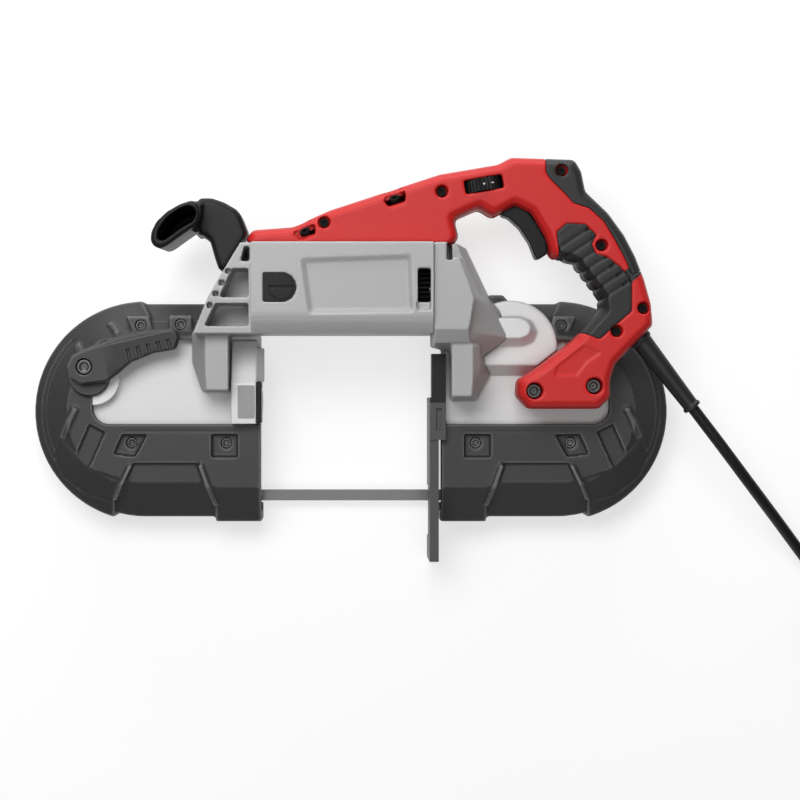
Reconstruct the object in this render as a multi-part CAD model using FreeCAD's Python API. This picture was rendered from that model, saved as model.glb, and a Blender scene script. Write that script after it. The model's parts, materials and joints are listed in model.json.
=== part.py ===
import FreeCAD, Part
import math
import os

os.makedirs("parts", exist_ok=True)
Vec = FreeCAD.Vector
up = Vec(0, 0, 1)
along = Vec(1, 0, 0)

# Driving dimensions, in millimetres and degrees.
# The saw lies on its wheel side: X along the blade, Y up the tool, Z away from the bench.
wheel_spacing = 346.0
wheel_axis_y = -41.7
overrun = 1.0
running_gap = 0.3
bearing_gap = 0.05
gentle_share = 0.35
bend_share = 0.45
shaft_sides = 48

# The photograph that the outlines are read from
mm_per_pixel = 0.832
photo_centre_pixels = (351, 400)
photo_centre_y = -32.1
photo_plane_z = 48.0
camera_distance = 1500.0
wheel_spacing_pixels = 415.87

# Wheels, tyres and blade
wheel_back_z = 6.0
wheel_width = 19.0
wheel_web = 5.0
wheel_rim = 7.0
wheel_hub_radius = 15.0
wheel_hole_radius = 11.0
wheel_hole_circle = 39.0
wheel_hole_count = 6
tyre_radius = 70.7
tyre_thickness = 2.5
blade_gap = 0.3
blade_thickness = 0.6
blade_width = 12.7
blade_twist_angle = 52.0
guide_reach_x = 92.0
blade_flat_run = 16.0
axle_radius = 7.0
wheel_bearing_wall = 5.0
axle_cap = 2.0

# Guards
guard_radius = 92.4
guard_end_x = 75.0
guard_wall = 8.0
guard_lip = 3.0
guard_cavity_z = 28.0
guard_carriage_inset = 11.5
guard_keep_inset = 18.0
guard_lip_inset = 15.0
guard_rim_z = 34.0
guard_step_z = 41.0
guard_step_inset = 11.0
guard_front_z = 54.0
guard_front_inset = 30.0
guard_recess_depth = 2.5
guard_recess_inset = 4.0
guard_top_inset = 2.0
guard_facet_depth = 1.0
guard_crescent_inset = 7.0
guard_crescent_width = 2.6
guard_crescent_depth = 1.4
guard_crescent_angles = (134.0, 208.0)
guard_rib_rise = 2.0
guard_pocket_depth = 3.0
guard_groove_depth = 2.5
guard_pad_z = 51.0
guard_corner = 13.0
guard_window_pixels = [(280, 424), (92, 424), (92, 340), (206, 340), (206, 280), (280, 280)]
guard_back_cut_pixels = [(206, 344), (206, 280), (280, 280), (280, 344)]
guard_recess_pixels = [(133, 463), (200, 463), (214, 506), (214, 530), (110, 530), (113, 500)]
guard_top_pixels = [(131, 285), (151, 320), (206, 320), (206, 285)]
guard_facet_pixels = [(50, 456), (60, 440), (87, 467), (119, 478), (110, 502), (84, 496), (60, 478)]
guard_groove_pixels = [(122, 430), (238, 430), (238, 432.5), (122, 432.5)]
guard_pocket_tables_pixels = [
    [(122, 434), (147, 435), (135, 457), (113, 454)],
    [(211, 434), (238, 434), (238, 457), (211, 457)],
]
guard_side_pocket_pixels = [(89, 424), (105, 432), (84, 479), (69, 470)]
guard_pad_tables_pixels = [
    [(126, 316), (148, 316), (155, 338), (134, 338)],
    [(169, 315), (191, 315), (191, 338), (168, 338)],
]
guard_rib_tables_pixels = [
    [(59, 437), (73, 407), (78, 409), (64, 439)],
    [(98, 313), (102, 310), (119, 331), (115, 334)],
    [(68, 334), (72, 332), (83, 354), (78, 357)],
    [(128, 466), (132, 466), (115, 501), (111, 501)],
    [(198, 466), (202, 464), (217, 506), (213, 508)],
]
guard_screw_pixels = [(131, 443), (226, 443), (140, 325), (180, 324)]
drive_screw_count = 3
drive_tab_pixels = [(489, 304), (489, 295), (503, 295), (511, 304)]
screw_head_radius = 4.2
screw_head_height = 3.6
screw_shank_radius = 2.0
socket_radius_share = 0.45
socket_depth_share = 0.6
screw_seat_z = 45.0

# Cast idler frame with its pier
frame_back_z = 37.0
frame_thickness = 7.0
frame_flange_inset = 22.0
frame_flange_thickness = 4.0
frame_plate_inset = 25.0
frame_clearance = 0.4
pier_front_z = 100.0
pier_corner = 1.5
pier_pixels = [(240, 243), (220, 275), (207, 298), (198, 320), (192.5, 333), (192.5, 345)]
pier_foot_pixels = [(192, 362), (202, 391.5), (229, 391.5), (229, 332), (192, 332)]
pier_foot_top_pixels = [(205, 362), (206, 390), (228, 390), (228, 333), (205, 333)]
pier_foot_mid_z = 66.0
pier_foot_front_z = 86.0
pier_window_tables_pixels = [
    [(232, 268), (248, 268), (248, 297), (219, 297)],
    [(215, 303), (248, 303), (248, 326), (204, 326)],
    [(244, 246), (249, 246), (249, 261), (240, 261)],
]
pier_window_depth = 34.0
pier_hole_pixels = [(228, 271), (221.5, 282.5), (215.5, 293.5), (209.5, 305)]
pier_hole_side = 4.6
pier_hole_depth = 8.0

# Motor housing, the bar across the top
idler_arm_reach = 93.0
drive_arm_reach = 106.8
bar_bottom_y = 21.3
bar_top_y = 94.7
motor_axis_y = 58.0
motor_axis_z = 76.0
bar_half_depth = 34.0
bar_chamfer_y = 12.0
bar_chamfer_z = 7.0
bar_end_wall = 10.0
stator_radius = 28.5
panel_pixels = [(300, 258), (412, 254), (414, 313), (308, 314)]
panel_depth = 2.2
panel_slope = 3.8
panel_corner = 2.5
brush_recess_radius = 12.0
brush_recess_reach = 14.6
brush_recess_depth = 3.0
vent_pixels = [(418, 268), (431, 268), (431, 302), (418, 302)]
vent_depth = 26.0
vent_step_pixels = [(417, 301), (431, 301), (431, 310), (417, 310)]
vent_step_depth = 3.0

# Motor
armature_radius = 18.0
armature_back_x = -40.0
armature_front_x = 36.0
armature_slot_count = 11
armature_slot_depth = 8.0
armature_slot_width = 2.6
air_gap = 0.8
stator_teeth_half_angle = 55.0
coil_thickness = 6.0
coil_overhang = 6.0
coil_edge_angle = 4.0
shaft_radius = 4.5
brush_x = -55.8
commutator_radius = 13.0
commutator_length = 15.0
fan_x = 44.0
fan_width = 11.0
fan_radius = 27.0
fan_plate = 2.0
fan_blade_count = 12
fan_hub_radius = 9.0
motor_bearing_radius = 11.0
motor_bearing_width = 7.0
motor_rear_bearing_x = -78.0
motor_front_bearing_x = 68.0
brush_width = 6.0
brush_depth = 9.0
brush_boss_radius = 7.0
brush_boss_height = 3.0
brush_cap_radius = 9.6
brush_cap_rise = 0.8
brush_cap_sink = 0.6
brush_slot_width = 2.4
brush_slot_depth = 1.6

# Gear train
pressure_angle = 25.0
gear_backlash = 0.16
gear_root_clearance = 0.25
flank_steps = 4
first_module = 1.0
first_pinion_teeth = 12
first_gear_teeth = 58
first_gear_x = 86.0
first_gear_width = 9.0
layshaft_z = 61.0
layshaft_radius = 5.0
layshaft_bearing_radius = 10.0
layshaft_bearing_width = 5.5
layshaft_bearing_places_x = (97.0, 105.5)
bevel_module = 1.2
bevel_pinion_teeth = 12
bevel_gear_teeth = 30
bevel_face = 6.0
bevel_gear_back = 4.5
bevel_pinion_back = 3.5
final_module = 2.0
final_pinion_teeth = 12
final_gear_teeth = 65
final_gear_z = 26.5
final_gear_width = 8.0
intermediate_radius = 5.0
intermediate_bearing_radius = 11.0
intermediate_bearing_width = 6.0
intermediate_top_z = 71.0
bearing_boss_radius = 14.4
gear_room = 1.2

# Cast gear case
block_mid_z = 72.0
block_edge_z = 97.0
block_front_z = 104.0
block_corner = 1.5
block_base_pixels = [(440, 237), (466, 237), (490, 299), (509, 319), (509, 338), (482, 361), (440, 347)]
block_mid_pixels = [(440, 238), (461, 238), (484, 297), (491, 304), (509, 337), (479, 357), (440, 346)]
block_edge_pixels = [(440, 239), (456, 239), (474, 291), (476, 299), (471, 331), (470, 342), (440, 343)]
block_top_pixels = [(440, 239), (454, 239), (472, 291), (474, 299), (470, 324), (468, 329), (440, 329)]
block_leg_pixels = [(451, 336), (482, 345), (491, 374), (476, 400), (451, 400)]
block_leg_mid_pixels = [(451, 336), (480, 345), (480, 374), (474, 400), (451, 400)]
block_leg_top_pixels = [(452, 338), (473, 345), (473, 374), (472, 396), (452, 396)]
block_leg_mid_z = 86.0
block_leg_front_z = 95.0
block_notch_pixels = [(447, 242), (453, 242), (453, 260), (447, 260)]
block_notch_depth = 30.0
block_pocket_pixels = [(451, 225), (485, 225), (485, 257), (451, 257)]
block_pocket_depth = 14.0
cover_front_z = 60.0
cover_edge = 1.2
cover_pixels = (511, 347)
cover_radius = 38.5
cover_cut_pixels = (365, 376)
nose_pixels = [(478, 317), (520, 317), (531, 321), (537, 332), (533, 342), (522, 346), (478, 346)]
nose_top_pixels = [(478, 318), (519, 318), (527, 321), (531, 327), (529, 334), (521, 338), (478, 338)]
nose_front_z = 74.0
nose_corner = 4.0

# Rear handle
handle_axis_z = 76.0
handle_half_width = 21.0
handle_round_z = 10.0
handle_round_mid_z = 3.4
handle_round_mid_inset = 2.0
handle_round_inset = 6.0
handle_corner = 6.0
skin_thickness = 3.0
handle_pixels = [
    (242, 243), (252, 229), (292, 226), (330, 209), (440, 173), (499, 163), (512, 156),
    (576, 158), (583, 170), (587, 190), (610, 212), (626, 234),
    (637, 255), (646, 278), (653, 303), (655, 325), (633, 347), (617, 364), (612, 380),
    (612, 398), (600, 409), (530, 409), (518, 396), (519, 380), (540, 367), (576, 339), (603, 309),
    (601, 296), (575, 262), (553, 256), (546, 236), (532, 212), (516, 204), (494, 216),
    (480, 207), (455, 218), (461, 238),
]
palm_zone_pixels = [
    (547, 150), (546, 172), (550, 178), (565, 193), (574, 203), (590, 208), (605, 222), (616, 241),
    (624, 256), (631, 271), (633, 274.5), (643, 270), (670, 262), (670, 150),
]
finger_zone_pixels = [
    (560, 258), (557, 232), (567, 223), (586, 224), (597, 235), (592, 244), (597, 254), (607, 256),
    (620, 266), (629, 276), (632, 284), (632, 311), (600, 339), (579, 331), (560, 320),
    (540, 290), (545, 266),
]
handle_cavity_pixels = [
    (300, 235), (338, 215), (403, 194), (445, 178), (505, 167.5), (538, 171), (546, 184), (540, 202),
    (518, 196), (498, 206), (480, 199), (448, 213), (452, 230),
]
handle_cavity_half_width = 17.0
foot_pixels = [
    (607, 346), (607, 398), (598, 406), (532, 406), (521, 396), (522, 381), (541, 369), (572, 346),
]
foot_gap = 0.5
handle_screw_pixels = [(324, 222), (442, 191), (562, 170), (602, 245), (644, 308), (617, 331)]
handle_screw_bore = 5.0
handle_screw_floor_z = 89.0
handle_screw_radius = 3.6
handle_screw_length = 18.0
handle_screw_height = 3.0
foot_screw_pixels = [(535, 391), (595, 386)]
foot_screw_bore = 6.8
foot_screw_floor_z = 84.0
foot_screw_radius = 5.6
foot_screw_height = 5.0
foot_screw_shank = 3.0
shell_bolt_pixels = [(304, 229), (394, 196)]
shell_bolt_edges = (2, 3)
shell_bolt_tilt_angle = 55.0
shell_bolt_bore = 10.0
shell_bolt_radius = 4.4
shell_bolt_height = 3.0
shell_bolt_depth = 4.5
shell_bolt_length = 7.0
foot_emboss_pixels = [(584, 345), (557, 366), (554, 376), (577, 376), (588, 362), (603, 352)]
foot_emboss_depth = 0.8
foot_emboss_corner = 1.5

# Trigger, switch and speed dial
trigger_pixels = [
    (500, 213), (507, 205), (520, 203), (530, 209), (541, 225), (549, 240), (550, 252), (544, 256),
    (538, 259), (531, 241), (521, 226), (510, 216),
]
trigger_pivot_pixels = (512, 209)
trigger_half_width = 9.0
trigger_corner = 2.5
trigger_room = 0.8
trigger_slot_pixels = [
    (494, 214), (503, 199), (522, 196), (540, 201), (552, 214), (560, 232), (563, 250), (566, 262),
    (538, 266), (526, 236), (514, 220), (498, 220),
]
trigger_post_radius = 2.5
trigger_cap = 3.0
switch_pixels = [(509, 175), (537, 175), (537, 195), (509, 195)]
switch_half_width = 11.0
dial_pixels = (484, 184)
dial_radius = 15.0
dial_width = 10.0
dial_rise = 2.6
dial_room = 0.6
dial_tilt_angle = 10.0
dial_stub_radius = 2.4
dial_stub_length = 2.0
dial_ridge_count = 32
dial_ridge_depth = 0.7

# Front handle
grip_pixels = [
    (197, 224), (181, 235), (168, 244.5), (160, 248.5), (153, 246), (149.5, 240), (150.5, 231), (156, 220.5),
    (166, 211), (179, 203.5), (191, 199.5), (199, 202), (200.5, 213),
]
grip_bore_pixels = [
    (157, 239), (158, 230), (166, 218), (176, 210), (187, 205), (194, 207.5), (196, 214), (193, 221),
    (178, 229.5), (168, 237), (162, 241),
]
grip_near_z = 122.0
grip_far_z = 40.0
grip_taper = 3.0
grip_corner = 5.0
grip_edge = 2.5
grip_bore_depth = 60.0
neck_pixels = [
    (219.5, 273), (214, 257), (209.5, 241), (203, 235), (196, 233), (190, 226), (192, 207), (199, 197),
    (211, 197), (224, 201.5), (236, 208.5), (240.5, 214), (248, 230),
]
neck_reach_share = 0.35
neck_half_width = 21.0
neck_corner = 4.0
neck_edge = 3.0

# Blade tension
lever_pivot_pixels = (86, 367)
lever_pixels = [
    (66, 366), (71, 355), (90, 346), (115, 337), (145, 330), (175, 328), (179, 337), (175, 349),
    (152, 353), (130, 362), (116, 374), (106, 382), (80, 385), (69, 378),
]
lever_rib_tables_pixels = [
    [(125 + 10 * step, 349 - 2.4 * step), (129 + 10 * step, 348 - 2.4 * step),
     (133 + 10 * step, 366 - 4 * step), (129 + 10 * step, 367 - 4 * step)] for step in range(5)
]
lever_rib_depth = 2.0
lever_base_z = 60.0
lever_height = 13.0
lever_edge = 2.0
lever_corner = 4.5
lever_skirt_pixels = (89, 376)
lever_skirt_radius = 17.5
lever_skirt_z = 56.4
lever_bore = 7.0
lever_bore_depth = 4.0
lever_screw_radius = 6.0
lever_screw_height = 3.5
tension_boss_pixels = (93, 379)
tension_boss_radius = 21.5
tension_boss_z = 54.0
tension_shaft_radius = 6.0
eccentric_radius = 5.0
eccentric_throw = 3.0
eccentric_slack = 1.0
carriage_back_z = 28.0
carriage_half_height = 14.0
carriage_back_reach = 22.0
carriage_front_reach = 26.0
carriage_arm_end = 12.5
carriage_arm_chamfer = 6.0
rail_height = 6.0
rail_length = 38.0
rail_back_share = 0.25

# Blade guides
guide_x = 84.0
guide_roller_radius = 6.0
guide_roller_length = 11.0
guide_roller_gap = 0.3
guide_pin_radius = 2.5
guide_pin_reach = 60.0
guide_half_width = 6.5
guide_block_z = 30.5
guide_block_low = 5.5
guide_block_high = 26.0

# Work shoe
shoe_face_x = 65.0
shoe_thickness = 7.5
shoe_bottom_y = -165.8
shoe_top_y = -30.0
shoe_back_z = 5.0
shoe_front_z = 60.0
shoe_notch_z = 25.0
shoe_notch_room = 9.0
shoe_travel = 25.0
stem_width = 12.0
stem_top_y = 6.0
stem_bottom_y = -50.0
bracket_bottom_y = -65.0
bracket_back_z = 56.0
stem_front_z = 62.0
stem_slot_width = 5.0
stem_slot_length = 18.0
stem_slot_depth = 3.0
stem_slot_y = -48.0

# Work light
light_pixels = [(231, 340), (256, 340), (256, 424), (231, 424)]
light_front_z = 66.0
light_top_z = 50.0
light_slope_end_pixels = 384
light_flank_top_pixels = 348
light_flank_edge = 1.5
lens_thickness = 6.0
lens_length_pixels = (382, 423)

# Bolts between the castings
frame_bolt_radius = 2.6
frame_bolt_length = 24.0
idler_bolt_shares = ((0.86, -0.8), (-0.86, -0.8))
drive_bolt_shares = ((0.86, -0.8), (-0.86, 0.6))

# Strain relief, cord, coil and plug
cord_diameter = 9.4
relief_root_pixels = (641.5, 341)
relief_tip_pixels = (693, 408)
relief_root_radius = 8.4
relief_tip_radius = 6.4
relief_lip_radius = 7.6
relief_lip_length = 3.0
relief_collar_radius = 9.6
relief_collar_length = 7.0
relief_run = 22.0
cord_route = [
    (329.3, -101.4, 60.0), (360.0, -136.2, 35.0), (380.5, -160.1, 18.0), (402.0, -184.9, 6.5),
    (432.0, -219.5, 6.5),
]
coil_pitch = 10.3
coil_layer_rise = 10.2
coil_outer_radius = 69.5
coil_turns = 6.0
coil_end_run = 8.0
coil_reverse_share = 0.12
coil_climb_turns = 0.36
coil_parts_per_turn = 4
coil_samples_per_turn = 60
coil_tangent_step = 0.0001
tie_turns = 0.25
tie_wall = 1.2
tie_width = 10.0
tie_room = 1.0
tie_seat = 0.5
tail_run = 46.0
plug_length = 44.0
plug_width = 26.0
plug_height = 32.5
plug_corner = 6.0
plug_neck_length = 12.0
plug_neck_radius = 7.6
plug_pin_length = 18.0
plug_pin_width = 6.3
plug_pin_thickness = 1.5
plug_pin_spacing = 12.7

# Derived places
half_spacing = wheel_spacing / 2
frame_front_z = frame_back_z + frame_thickness
wheel_front_z = wheel_back_z + wheel_width
blade_z = wheel_back_z + wheel_width / 2
blade_radius = tyre_radius + blade_gap
bar_left_x = idler_arm_reach - half_spacing
bar_right_x = half_spacing - drive_arm_reach
bar_back_z = motor_axis_z - bar_half_depth
bar_front_z = motor_axis_z + bar_half_depth
first_distance = first_module * (first_pinion_teeth + first_gear_teeth) / 2
layshaft_y = motor_axis_y - math.sqrt(first_distance ** 2 - (motor_axis_z - layshaft_z) ** 2)
final_distance = final_module * (final_pinion_teeth + final_gear_teeth) / 2
intermediate_x = half_spacing - math.sqrt(final_distance ** 2 - (layshaft_y - wheel_axis_y) ** 2)
bevel_pinion_radius = bevel_module * bevel_pinion_teeth / 2
bevel_gear_radius = bevel_module * bevel_gear_teeth / 2
cord_radius = cord_diameter / 2
handle_near_z = handle_axis_z + handle_half_width
handle_far_z = handle_axis_z - handle_half_width


# Helpers

def photo_point(pixel, height):
    """X and Y of a photograph pixel on a surface at the given height; each half follows its wheel."""
    scale = mm_per_pixel * (1 - (height - photo_plane_z) / camera_distance)
    spread = (wheel_spacing - wheel_spacing_pixels * mm_per_pixel) / 2
    side = 1 if pixel[0] > photo_centre_pixels[0] else -1
    x = (pixel[0] - photo_centre_pixels[0]) * scale + side * spread
    y = (photo_centre_pixels[1] - pixel[1]) * scale + photo_centre_y
    return (x, y)


def photo_points(pixels, height):
    return [photo_point(pixel, height) for pixel in pixels]


def mirrored(pixels):
    return [(2 * photo_centre_pixels[0] - u, v) for u, v in pixels]


def counter_clockwise(points):
    area = sum(a[0] * b[1] - b[0] * a[1] for a, b in zip(points, points[1:] + points[:1]))
    return points if area > 0 else points[::-1]


def inset_points(points, depth, last_depth=None):
    """The same corners, each side moved inwards; the last side, back to the first corner, may differ."""
    turned = counter_clockwise(points)
    depths = [depth] * len(points)
    if last_depth is not None:
        depths[-1] = last_depth
    if turned != points:
        depths = depths[-2::-1] + depths[-1:]
    moved = []
    for k, here in enumerate(turned):
        before = turned[k - 1]
        after = turned[(k + 1) % len(turned)]
        first = Vec(here[0] - before[0], here[1] - before[1], 0).normalize()
        second = Vec(after[0] - here[0], after[1] - here[1], 0).normalize()
        cross = first.x * second.y - first.y * second.x
        slide_first = (depths[k] - depths[k - 1] * first.dot(second)) / cross
        moved.append((here[0] - first.y * depths[k - 1] - first.x * slide_first,
                      here[1] + first.x * depths[k - 1] - first.y * slide_first))
    return moved


def rounded_wire(points, radius, z):
    """A closed wire at height z with every corner rounded, less on short sides."""
    points = counter_clockwise([(p[0], p[1]) for p in points])
    corners = [Vec(x, y, z) for x, y in points]
    arcs = []
    for before, here, after in zip(corners[-1:] + corners[:-1], corners, corners[1:] + corners[:1]):
        to_before = before - here
        to_after = after - here
        room = bend_share * min(to_before.Length, to_after.Length)
        to_before.normalize()
        to_after.normalize()
        half_turn = (math.pi - to_before.getAngle(to_after)) / 2
        cut = min(room, max(radius * math.tan(half_turn), gentle_share * radius))
        start = here + to_before * cut
        end = here + to_after * cut
        inward = (to_before + to_after).normalize()
        bend = cut / math.tan(half_turn)
        middle = here + inward * (math.hypot(cut, bend) - bend)
        arcs.append((start, middle, end))
    edges = []
    for arc, following in zip(arcs, arcs[1:] + arcs[:1]):
        edges.append(Part.Arc(*arc).toShape())
        edges.append(Part.LineSegment(arc[2], following[0]).toShape())
    return Part.Wire(edges)


def sharp_wire(points, z):
    corners = [Vec(p[0], p[1], z) for p in points]
    return Part.makePolygon(corners + corners[:1])


def prism(points, low, high, radius=0):
    wire = rounded_wire(points, radius, low) if radius else sharp_wire(points, low)
    return Part.Face(wire).extrude(up * (high - low))


def layered(points, radius, levels, last_depth=None):
    """A prism whose outline draws in at some heights: levels are heights and insets."""
    wires = [rounded_wire(inset_points(points, depth, last_depth), radius, z) for z, depth in levels]
    return Part.makeLoft(wires, True, True)


def tapered(levels, radius):
    """A solid through outlines at several heights: levels are outlines and heights."""
    return Part.makeLoft([rounded_wire(points, radius, z) for points, z in levels], True, True)


def cylinder(radius, low, high, x=0, y=0):
    return Part.makeCylinder(radius, high - low, Vec(x, y, low))


def ring(outer, inner, low, high, x=0, y=0):
    return cylinder(outer, low, high, x, y).cut(cylinder(inner, low - overrun, high + overrun, x, y))


def bar_x(radius, start, end, y, z):
    return Part.makeCylinder(radius, end - start, Vec(start, y, z), along)


def ring_x(outer, inner, start, end, y, z):
    return bar_x(outer, start, end, y, z).cut(bar_x(inner, start - overrun, end + overrun, y, z))


def block(low, high):
    return Part.makeBox(high[0] - low[0], high[1] - low[1], high[2] - low[2], Vec(*low))


def joined(*shapes):
    return shapes[0].multiFuse(list(shapes[1:])).removeSplitter()


def without(shape, *tools):
    return shape.cut(list(tools))


def save(name, *shapes):
    solids = [solid for shape in shapes for solid in shape.Solids]
    whole = solids[0] if len(solids) == 1 else Part.makeCompound(solids)
    whole.exportStep("parts/" + name + ".step")
    return whole


def gear_outline(teeth, module, twist):
    """Corner points of an involute spur gear with a tooth centred on the twist angle."""
    pitch = module * teeth / 2
    base = pitch * math.cos(math.radians(pressure_angle))
    outer = pitch + module
    root = pitch - module * (1 + gear_root_clearance)
    pressure = math.radians(pressure_angle)
    half_tooth = math.pi / 2 / teeth - gear_backlash / 2 / pitch + math.tan(pressure) - pressure
    start = max(base, root)
    flank = []
    for step in range(flank_steps + 1):
        radius = start + (outer - start) * step / flank_steps
        roll = math.acos(base / radius)
        flank.append((radius, half_tooth - (math.tan(roll) - roll)))
    side = [(root, flank[0][1])] * (root < base) + flank
    points = []
    for tooth in range(teeth):
        centre = twist + 2 * math.pi * tooth / teeth
        for radius, angle in [(r, -a) for r, a in side] + [(r, a) for r, a in side[::-1]]:
            points.append((radius * math.cos(centre + angle), radius * math.sin(centre + angle)))
    return points


def shaft_outline(radius):
    """The faceted outline of a shaft, also the bore of the gear that sits on it."""
    turns = [2 * math.pi * k / shaft_sides for k in range(shaft_sides)]
    return [(radius * math.cos(turn), radius * math.sin(turn)) for turn in turns]


def shaft(radius, low, high):
    return prism(shaft_outline(radius), low, high)


def spur_gear(teeth, module, low, high, twist):
    return prism(gear_outline(teeth, module, twist), low, high)


def on_x(shape, x, y, z):
    """A shape made about Z, turned to lie along X and moved into place."""
    placed = shape.copy()
    placed.rotate(Vec(0, 0, 0), Vec(1, 1, 1), 120)
    placed.translate(Vec(x, y, z))
    return placed


def bevel_wheel(teeth, mate_teeth, back, twist):
    """A straight bevel gear about Z, its apex at the origin and its teeth towards it from below."""
    cone = math.atan2(teeth, mate_teeth)
    pitch = bevel_module * teeth / 2
    mate_pitch = bevel_module * mate_teeth / 2
    cone_length = math.hypot(pitch, mate_pitch)
    inner_scale = 1 - bevel_face / cone_length
    virtual_pitch = pitch / math.cos(cone)
    virtual_base = virtual_pitch * math.cos(math.radians(pressure_angle))
    outer = virtual_pitch + bevel_module
    root = virtual_pitch - bevel_module * (1 + gear_root_clearance)
    pressure = math.radians(pressure_angle)
    half_tooth = math.pi * bevel_module / 4 / virtual_pitch - gear_backlash / 2 / virtual_pitch
    half_tooth += math.tan(pressure) - pressure
    start = max(virtual_base, root)
    side = []
    for step in range(flank_steps + 1):
        radius = start + (outer - start) * step / flank_steps
        roll = math.acos(virtual_base / radius)
        side.append((radius, half_tooth - (math.tan(roll) - roll)))
    side = [(root, side[0][1])] * (root < virtual_base) + side
    rim = []
    for tooth in range(teeth):
        centre = twist + 2 * math.pi * tooth / teeth
        for radius, angle in [(r, -a) for r, a in side] + [(r, a) for r, a in side[::-1]]:
            turn = centre + angle / math.cos(cone)
            flat = radius * math.cos(cone)
            height = -mate_pitch + (radius - virtual_pitch) * math.sin(cone)
            rim.append(Vec(flat * math.cos(turn), flat * math.sin(turn), height))
    count = len(rim)
    near = [point * inner_scale for point in rim]
    turns = [math.atan2(point.y, point.x) for point in rim]
    low = -mate_pitch - back
    high = min(point.z for point in near)
    bore = inner_scale * shaft_radius / 2
    floor = [Vec(bore * math.cos(a), bore * math.sin(a), low) for a in turns]
    base_radius = (root - bevel_module) * math.cos(cone)
    skirt = [Vec(base_radius * math.cos(a), base_radius * math.sin(a), low) for a in turns]
    top = [Vec(bore * math.cos(a), bore * math.sin(a), high) for a in turns]
    bands = [(rim, near), (near, top), (top, floor), (floor, skirt), (skirt, rim)]
    faces = []
    for one, other in bands:
        for k in range(count):
            after = (k + 1) % count
            for corners in ((one[k], one[after], other[after]), (one[k], other[after], other[k])):
                if len({(corner.x, corner.y, corner.z) for corner in corners}) == len(corners):
                    faces.append(Part.Face(Part.makePolygon(list(corners) + [corners[0]])))
    shell = Part.makeShell(faces)
    shell.sewShape()
    solid = Part.makeSolid(shell)
    if solid.Volume < 0:
        solid.reverse()
    return solid


def tube_path(points):
    """Straight runs joined by tangent arcs, each as large as its two runs allow, and the radii."""
    corners = [Vec(*point) for point in points]
    edges = []
    radii = []
    last = corners[0]
    for before, here, after in zip(corners, corners[1:], corners[2:]):
        to_before = before - here
        to_after = after - here
        cut = bend_share * min(to_before.Length, to_after.Length)
        to_before.normalize()
        to_after.normalize()
        half_turn = (math.pi - to_before.getAngle(to_after)) / 2
        radius = cut / math.tan(half_turn)
        start = here + to_before * cut
        end = here + to_after * cut
        inward = (to_before + to_after).normalize()
        middle = here + inward * (math.hypot(cut, radius) - radius)
        edges.append(Part.LineSegment(last, start).toShape())
        edges.append(Part.Arc(start, middle, end).toShape())
        radii.append(radius)
        last = end
    edges.append(Part.LineSegment(last, corners[-1]).toShape())
    return edges, radii


def tube(edges, radius):
    path = Part.Wire(edges)
    start = edges[0].valueAt(edges[0].FirstParameter)
    direction = edges[0].tangentAt(edges[0].FirstParameter)
    profile = Part.Wire([Part.Circle(start, direction, radius).toShape()])
    return Part.Wire(path).makePipeShell([profile], True, False)


def arc_from(start, tangent, end):
    """The arc that leaves start along the tangent and ends at end."""
    chord = end - start
    across = chord - tangent * chord.dot(tangent)
    turn = 2 * math.atan2(across.Length, chord.dot(tangent))
    if across.Length == 0:
        return Part.LineSegment(start, end).toShape()
    side = Vec(across).normalize()
    radius = chord.Length / 2 / math.sin(turn / 2)
    middle = start + tangent * (radius * math.sin(turn / 2)) + side * (radius * (1 - math.cos(turn / 2)))
    return Part.Arc(start, middle, end).toShape()


def biarc(start, start_tangent, end, end_tangent):
    """Two arcs that join two points along the given tangents."""
    chord = end - start
    total = start_tangent + end_tangent
    spread = 2 * (1 - start_tangent.dot(end_tangent))
    dot = chord.dot(total)
    reach = (math.sqrt(dot ** 2 + spread * chord.dot(chord)) - dot) / spread
    middle = (start + end + (start_tangent - end_tangent) * reach) * 0.5
    first = arc_from(start, start_tangent, middle)
    second = arc_from(end, end_tangent * -1, middle)
    second_points = [second.valueAt(second.LastParameter),
                     second.valueAt((second.FirstParameter + second.LastParameter) / 2),
                     second.valueAt(second.FirstParameter)]
    return [first, Part.Arc(*second_points).toShape()]


# Guards: a D round each wheel, open to the throat and to the bench side

def d_wire(side, inset, z, end_x):
    radius = guard_radius - inset
    centre = side * half_spacing
    top = wheel_axis_y + radius
    bottom = wheel_axis_y - radius
    corners = [Vec(side * end_x, top, z), Vec(centre, top, z), Vec(centre + side * radius, wheel_axis_y, z),
               Vec(centre, bottom, z), Vec(side * end_x, bottom, z)]
    edges = [Part.LineSegment(corners[0], corners[1]).toShape(),
             Part.Arc(corners[1], corners[2], corners[3]).toShape(),
             Part.LineSegment(corners[3], corners[4]).toShape(),
             Part.LineSegment(corners[4], corners[0]).toShape()]
    return Part.Wire(edges)


def d_prism(side, inset, low, high, end_x):
    return Part.Face(d_wire(side, inset, low, end_x)).extrude(up * (high - low))


def guard_skin(side, drop, inset):
    """The guard's outer form, lowered and drawn in by the given amounts."""
    levels = [(0, 0), (guard_rim_z, 0), (guard_step_z, guard_step_inset), (guard_front_z, guard_front_inset)]
    wires = [d_wire(side, depth + inset, z - (drop if z else 0), guard_end_x) for z, depth in levels]
    return Part.makeLoft(wires, True, True)


def side_points(side, pixels, height):
    return photo_points(pixels if side < 0 else mirrored(pixels), height)


def guard_relief(side, tool, drop, inset):
    """What a tool takes off the guard, down to a skin that is lowered and drawn in."""
    return tool.cut(guard_skin(side, drop, inset))


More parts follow.
